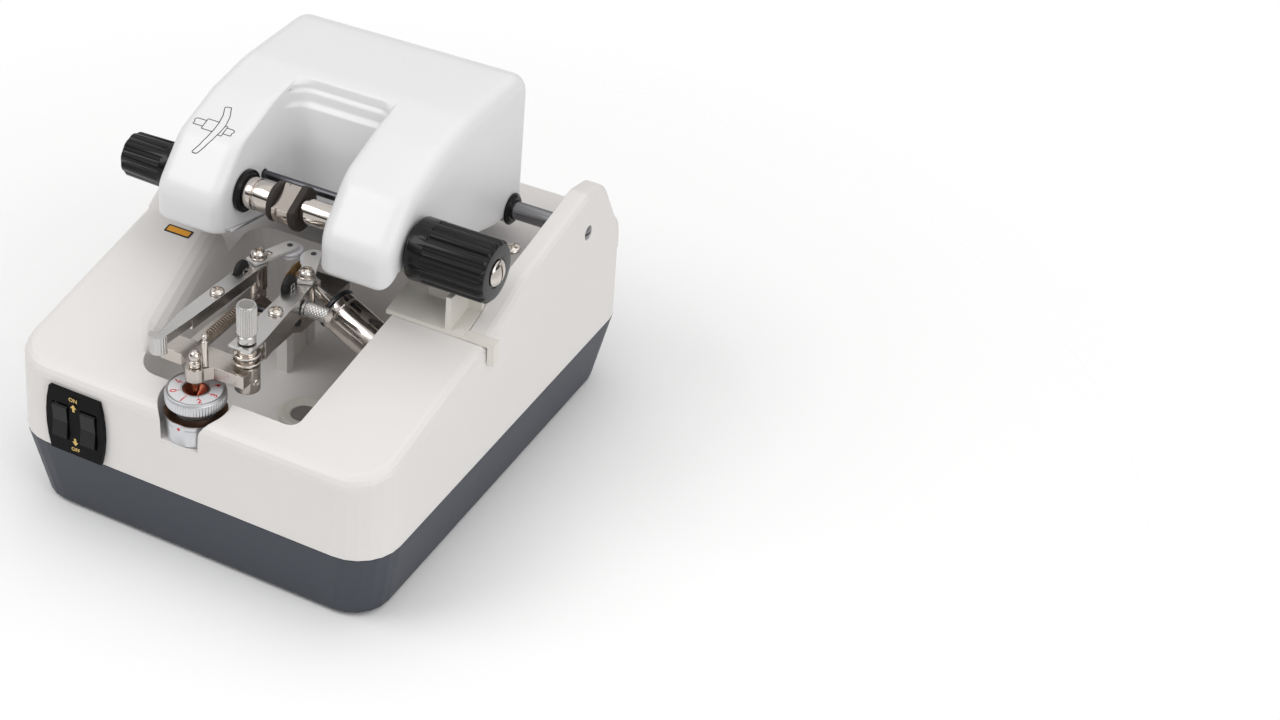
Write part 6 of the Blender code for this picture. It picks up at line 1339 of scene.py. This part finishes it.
class GROOVER_OT_tab(bpy.types.Operator):
    """Make the plain tab on the left deck, the screw on the right one and the drain's ring"""

    bl_idname = "groover.tab"
    bl_label = "Deck tab"

    def execute(self, context):
        lean = spun(atan2(DECK_SLOPE, 1), "X")
        place = at(-0.0814, -0.02338, 0.0950 + DECK_SLOPE * 0.0905) @ lean
        for name, wide, deep, ease, height, thick, bevel, finish in (
            ("tab_border", 8, 2.9, 0.9, 0.10, 0.2, 0.05, "black ink"),
            ("tab_face", 6.9, 1.9, 0.5, 0.24, 0.1, 0.03, "orange tab"),
        ):
            edge = [(-wide, -deep), (wide, -deep), (wide, deep), (-wide, deep)]
            edge = eased(edge, ease, closed=True)
            piece = slab(name, edge, place @ at(0, 0, height * MM), thick, bevel)
            dress(piece, finish, on="upper_casing")
        low, high, centre = span("drain_cup")
        dress(lathe("drain_ring", [
            (7, -0.5), (13.4, -0.5), (13.4, 0.9), (12.8, 1.7), (11.2, 1.7), (10.6, 1.2),
            (9.4, 0.9), (7.6, 0.5), (7, 0),
        ], at(centre.x, centre.y, high.z), 96, 0.2), "cream_plastic", on="upper_casing")
        place = at(0.0850, 0.0385, 0.0950 + DECK_SLOPE * 0.1524) @ lean
        dress(pan_head("deck_screw", 4.2, 2.4, place), "chrome", on="upper_casing")
        return {"FINISHED"}


class GROOVER_OT_stage(bpy.types.Operator):
    """Set the floor, the lights and the camera"""

    bl_idname = "groover.stage"
    bl_label = "Stage"

    def execute(self, context):
        studio = context.scene.groover_studio
        bm = bmesh.new()
        bmesh.ops.create_grid(bm, x_segments=1, y_segments=1, size=6)
        floor = put("floor", bm)
        finish = Finish("pale floor", Roughness=0.9, Specular_IOR_Level=0.1)
        finish.colour(finish.mix(finish.noise(3), (0.96, 0.96, 0.962), (0.98, 0.98, 0.982)))
        reach = (finish.axis("X") ** 2 + finish.axis("Y") ** 2) ** 0.5
        shadow_edge, fading = 0.50, 0.26
        shown = ((shadow_edge - reach) / fading).most(0).least(1)
        finish.feed(finish.shader.inputs["Alpha"], shown)
        floor.data.materials.append(finish.material)
        self.light_world(context, studio.sky)
        for name, spot, size, power in (
            ("key", (-0.9, -0.9, 1.5), 1, studio.key),
            ("fill", (1.4, -0.5, 0.9), 1.2, studio.fill),
            ("top", (0.1, 0.5, 1.8), 1.3, studio.fill * 0.3),
        ):
            light = bpy.data.lights.new(name, "AREA")
            light.size = size
            light.energy = power
            lamp = linked(name, light)
            lamp.location = spot
            aim = Vector((0, 0, 0.1)) - Vector(spot)
            lamp.rotation_euler = aim.to_track_quat("-Z", "Y").to_euler()

        camera = linked("camera", bpy.data.cameras.new("camera"))
        right = Vector((0.850639, 0.525720, 0.005524))
        up = Vector((-0.294661, 0.468020, 0.833146))
        back = Vector((0.435417, -0.710335, 0.553025))
        turn = Matrix((right, up, back)).transposed().to_4x4()
        camera.matrix_world = at(0.542605, -0.904212, 0.790293) @ turn
        camera.data.lens = 67.5
        camera.data.sensor_width = 36
        camera.data.shift_x = 0.2549
        camera.data.shift_y = -0.0546
        context.scene.camera = camera
        context.scene.view_settings.view_transform = "Standard"
        return {"FINISHED"}

    def light_world(self, context, strength):
        """Even light with a dark band low in it for the metal, and white where it is seen."""
        world = bpy.data.worlds.new("soft studio")
        context.scene.world = world
        made = Nodes(world)
        place = made.node("ShaderNodeTexCoord").outputs["Generated"]
        height = made.node("ShaderNodeSeparateXYZ", None, {"Vector": place}).outputs["Z"]
        stops = ((0, 1), (0.10, 1), (0.16, 0.06), (0.34, 0.10), (0.42, 1), (1, 1.15))
        band = made.node("ShaderNodeValToRGB", {
            "stops": [(spot, (grey, grey * 0.995, grey * 0.99, 1)) for spot, grey in stops]
        }, {"Fac": height})
        sky = made.tree.nodes["Background"]
        made.feed(sky.inputs["Strength"], strength)
        made.feed(sky.inputs["Color"], band.outputs["Color"])
        white = made.node("ShaderNodeBackground", None, {"Color": (1, 1, 1, 1)})
        path = made.node("ShaderNodeLightPath").outputs
        seen = made.math("MAXIMUM", path["Is Camera Ray"], path["Is Transmission Ray"])
        inputs = {0: seen, 1: sky.outputs[0], 2: white.outputs[0]}
        mix = made.node("ShaderNodeMixShader", None, inputs)
        made.feed(made.tree.nodes["World Output"].inputs["Surface"], mix.outputs[0])


OPERATORS = (
    GROOVER_OT_housing,
    GROOVER_OT_head,
    GROOVER_OT_knobs,
    GROOVER_OT_chuck,
    GROOVER_OT_wheel,
    GROOVER_OT_fittings,
    GROOVER_OT_lock,
    GROOVER_OT_screws,
    GROOVER_OT_dial,
    GROOVER_OT_switches,
    GROOVER_OT_hinge,
    GROOVER_OT_tab,
    GROOVER_OT_stage,
)


class GROOVER_PT_panel(bpy.types.Panel):
    """Lists the settings and the operators."""

    bl_label = "Lens Groover"
    bl_idname = "GROOVER_PT_panel"
    bl_space_type = "VIEW_3D"
    bl_region_type = "UI"
    bl_category = "Lens Groover"

    def draw(self, context):
        for group in GROUPS:
            settings = getattr(context.scene, group)
            for name in settings.__annotations__:
                self.layout.prop(settings, name)
        for operator in OPERATORS:
            self.layout.operator(operator.bl_idname)


GROUPS = {
    "groover_colours": GrooverColours,
    "groover_sizes": GrooverSizes,
    "groover_studio": GrooverStudio,
}
CLASSES = (*GROUPS.values(), *OPERATORS, GROOVER_PT_panel)


def register():
    for cls in CLASSES:
        bpy.utils.register_class(cls)
    for group, cls in GROUPS.items():
        setattr(bpy.types.Scene, group, bpy.props.PointerProperty(type=cls))


def unregister():
    for group in GROUPS:
        delattr(bpy.types.Scene, group)
    for cls in reversed(CLASSES):
        bpy.utils.unregister_class(cls)


def main():
    register()
    for operator in OPERATORS:
        getattr(bpy.ops.groover, operator.bl_idname.split(".")[1])()
    bpy.context.view_layer.update()


if __name__ == "__main__":
    main()
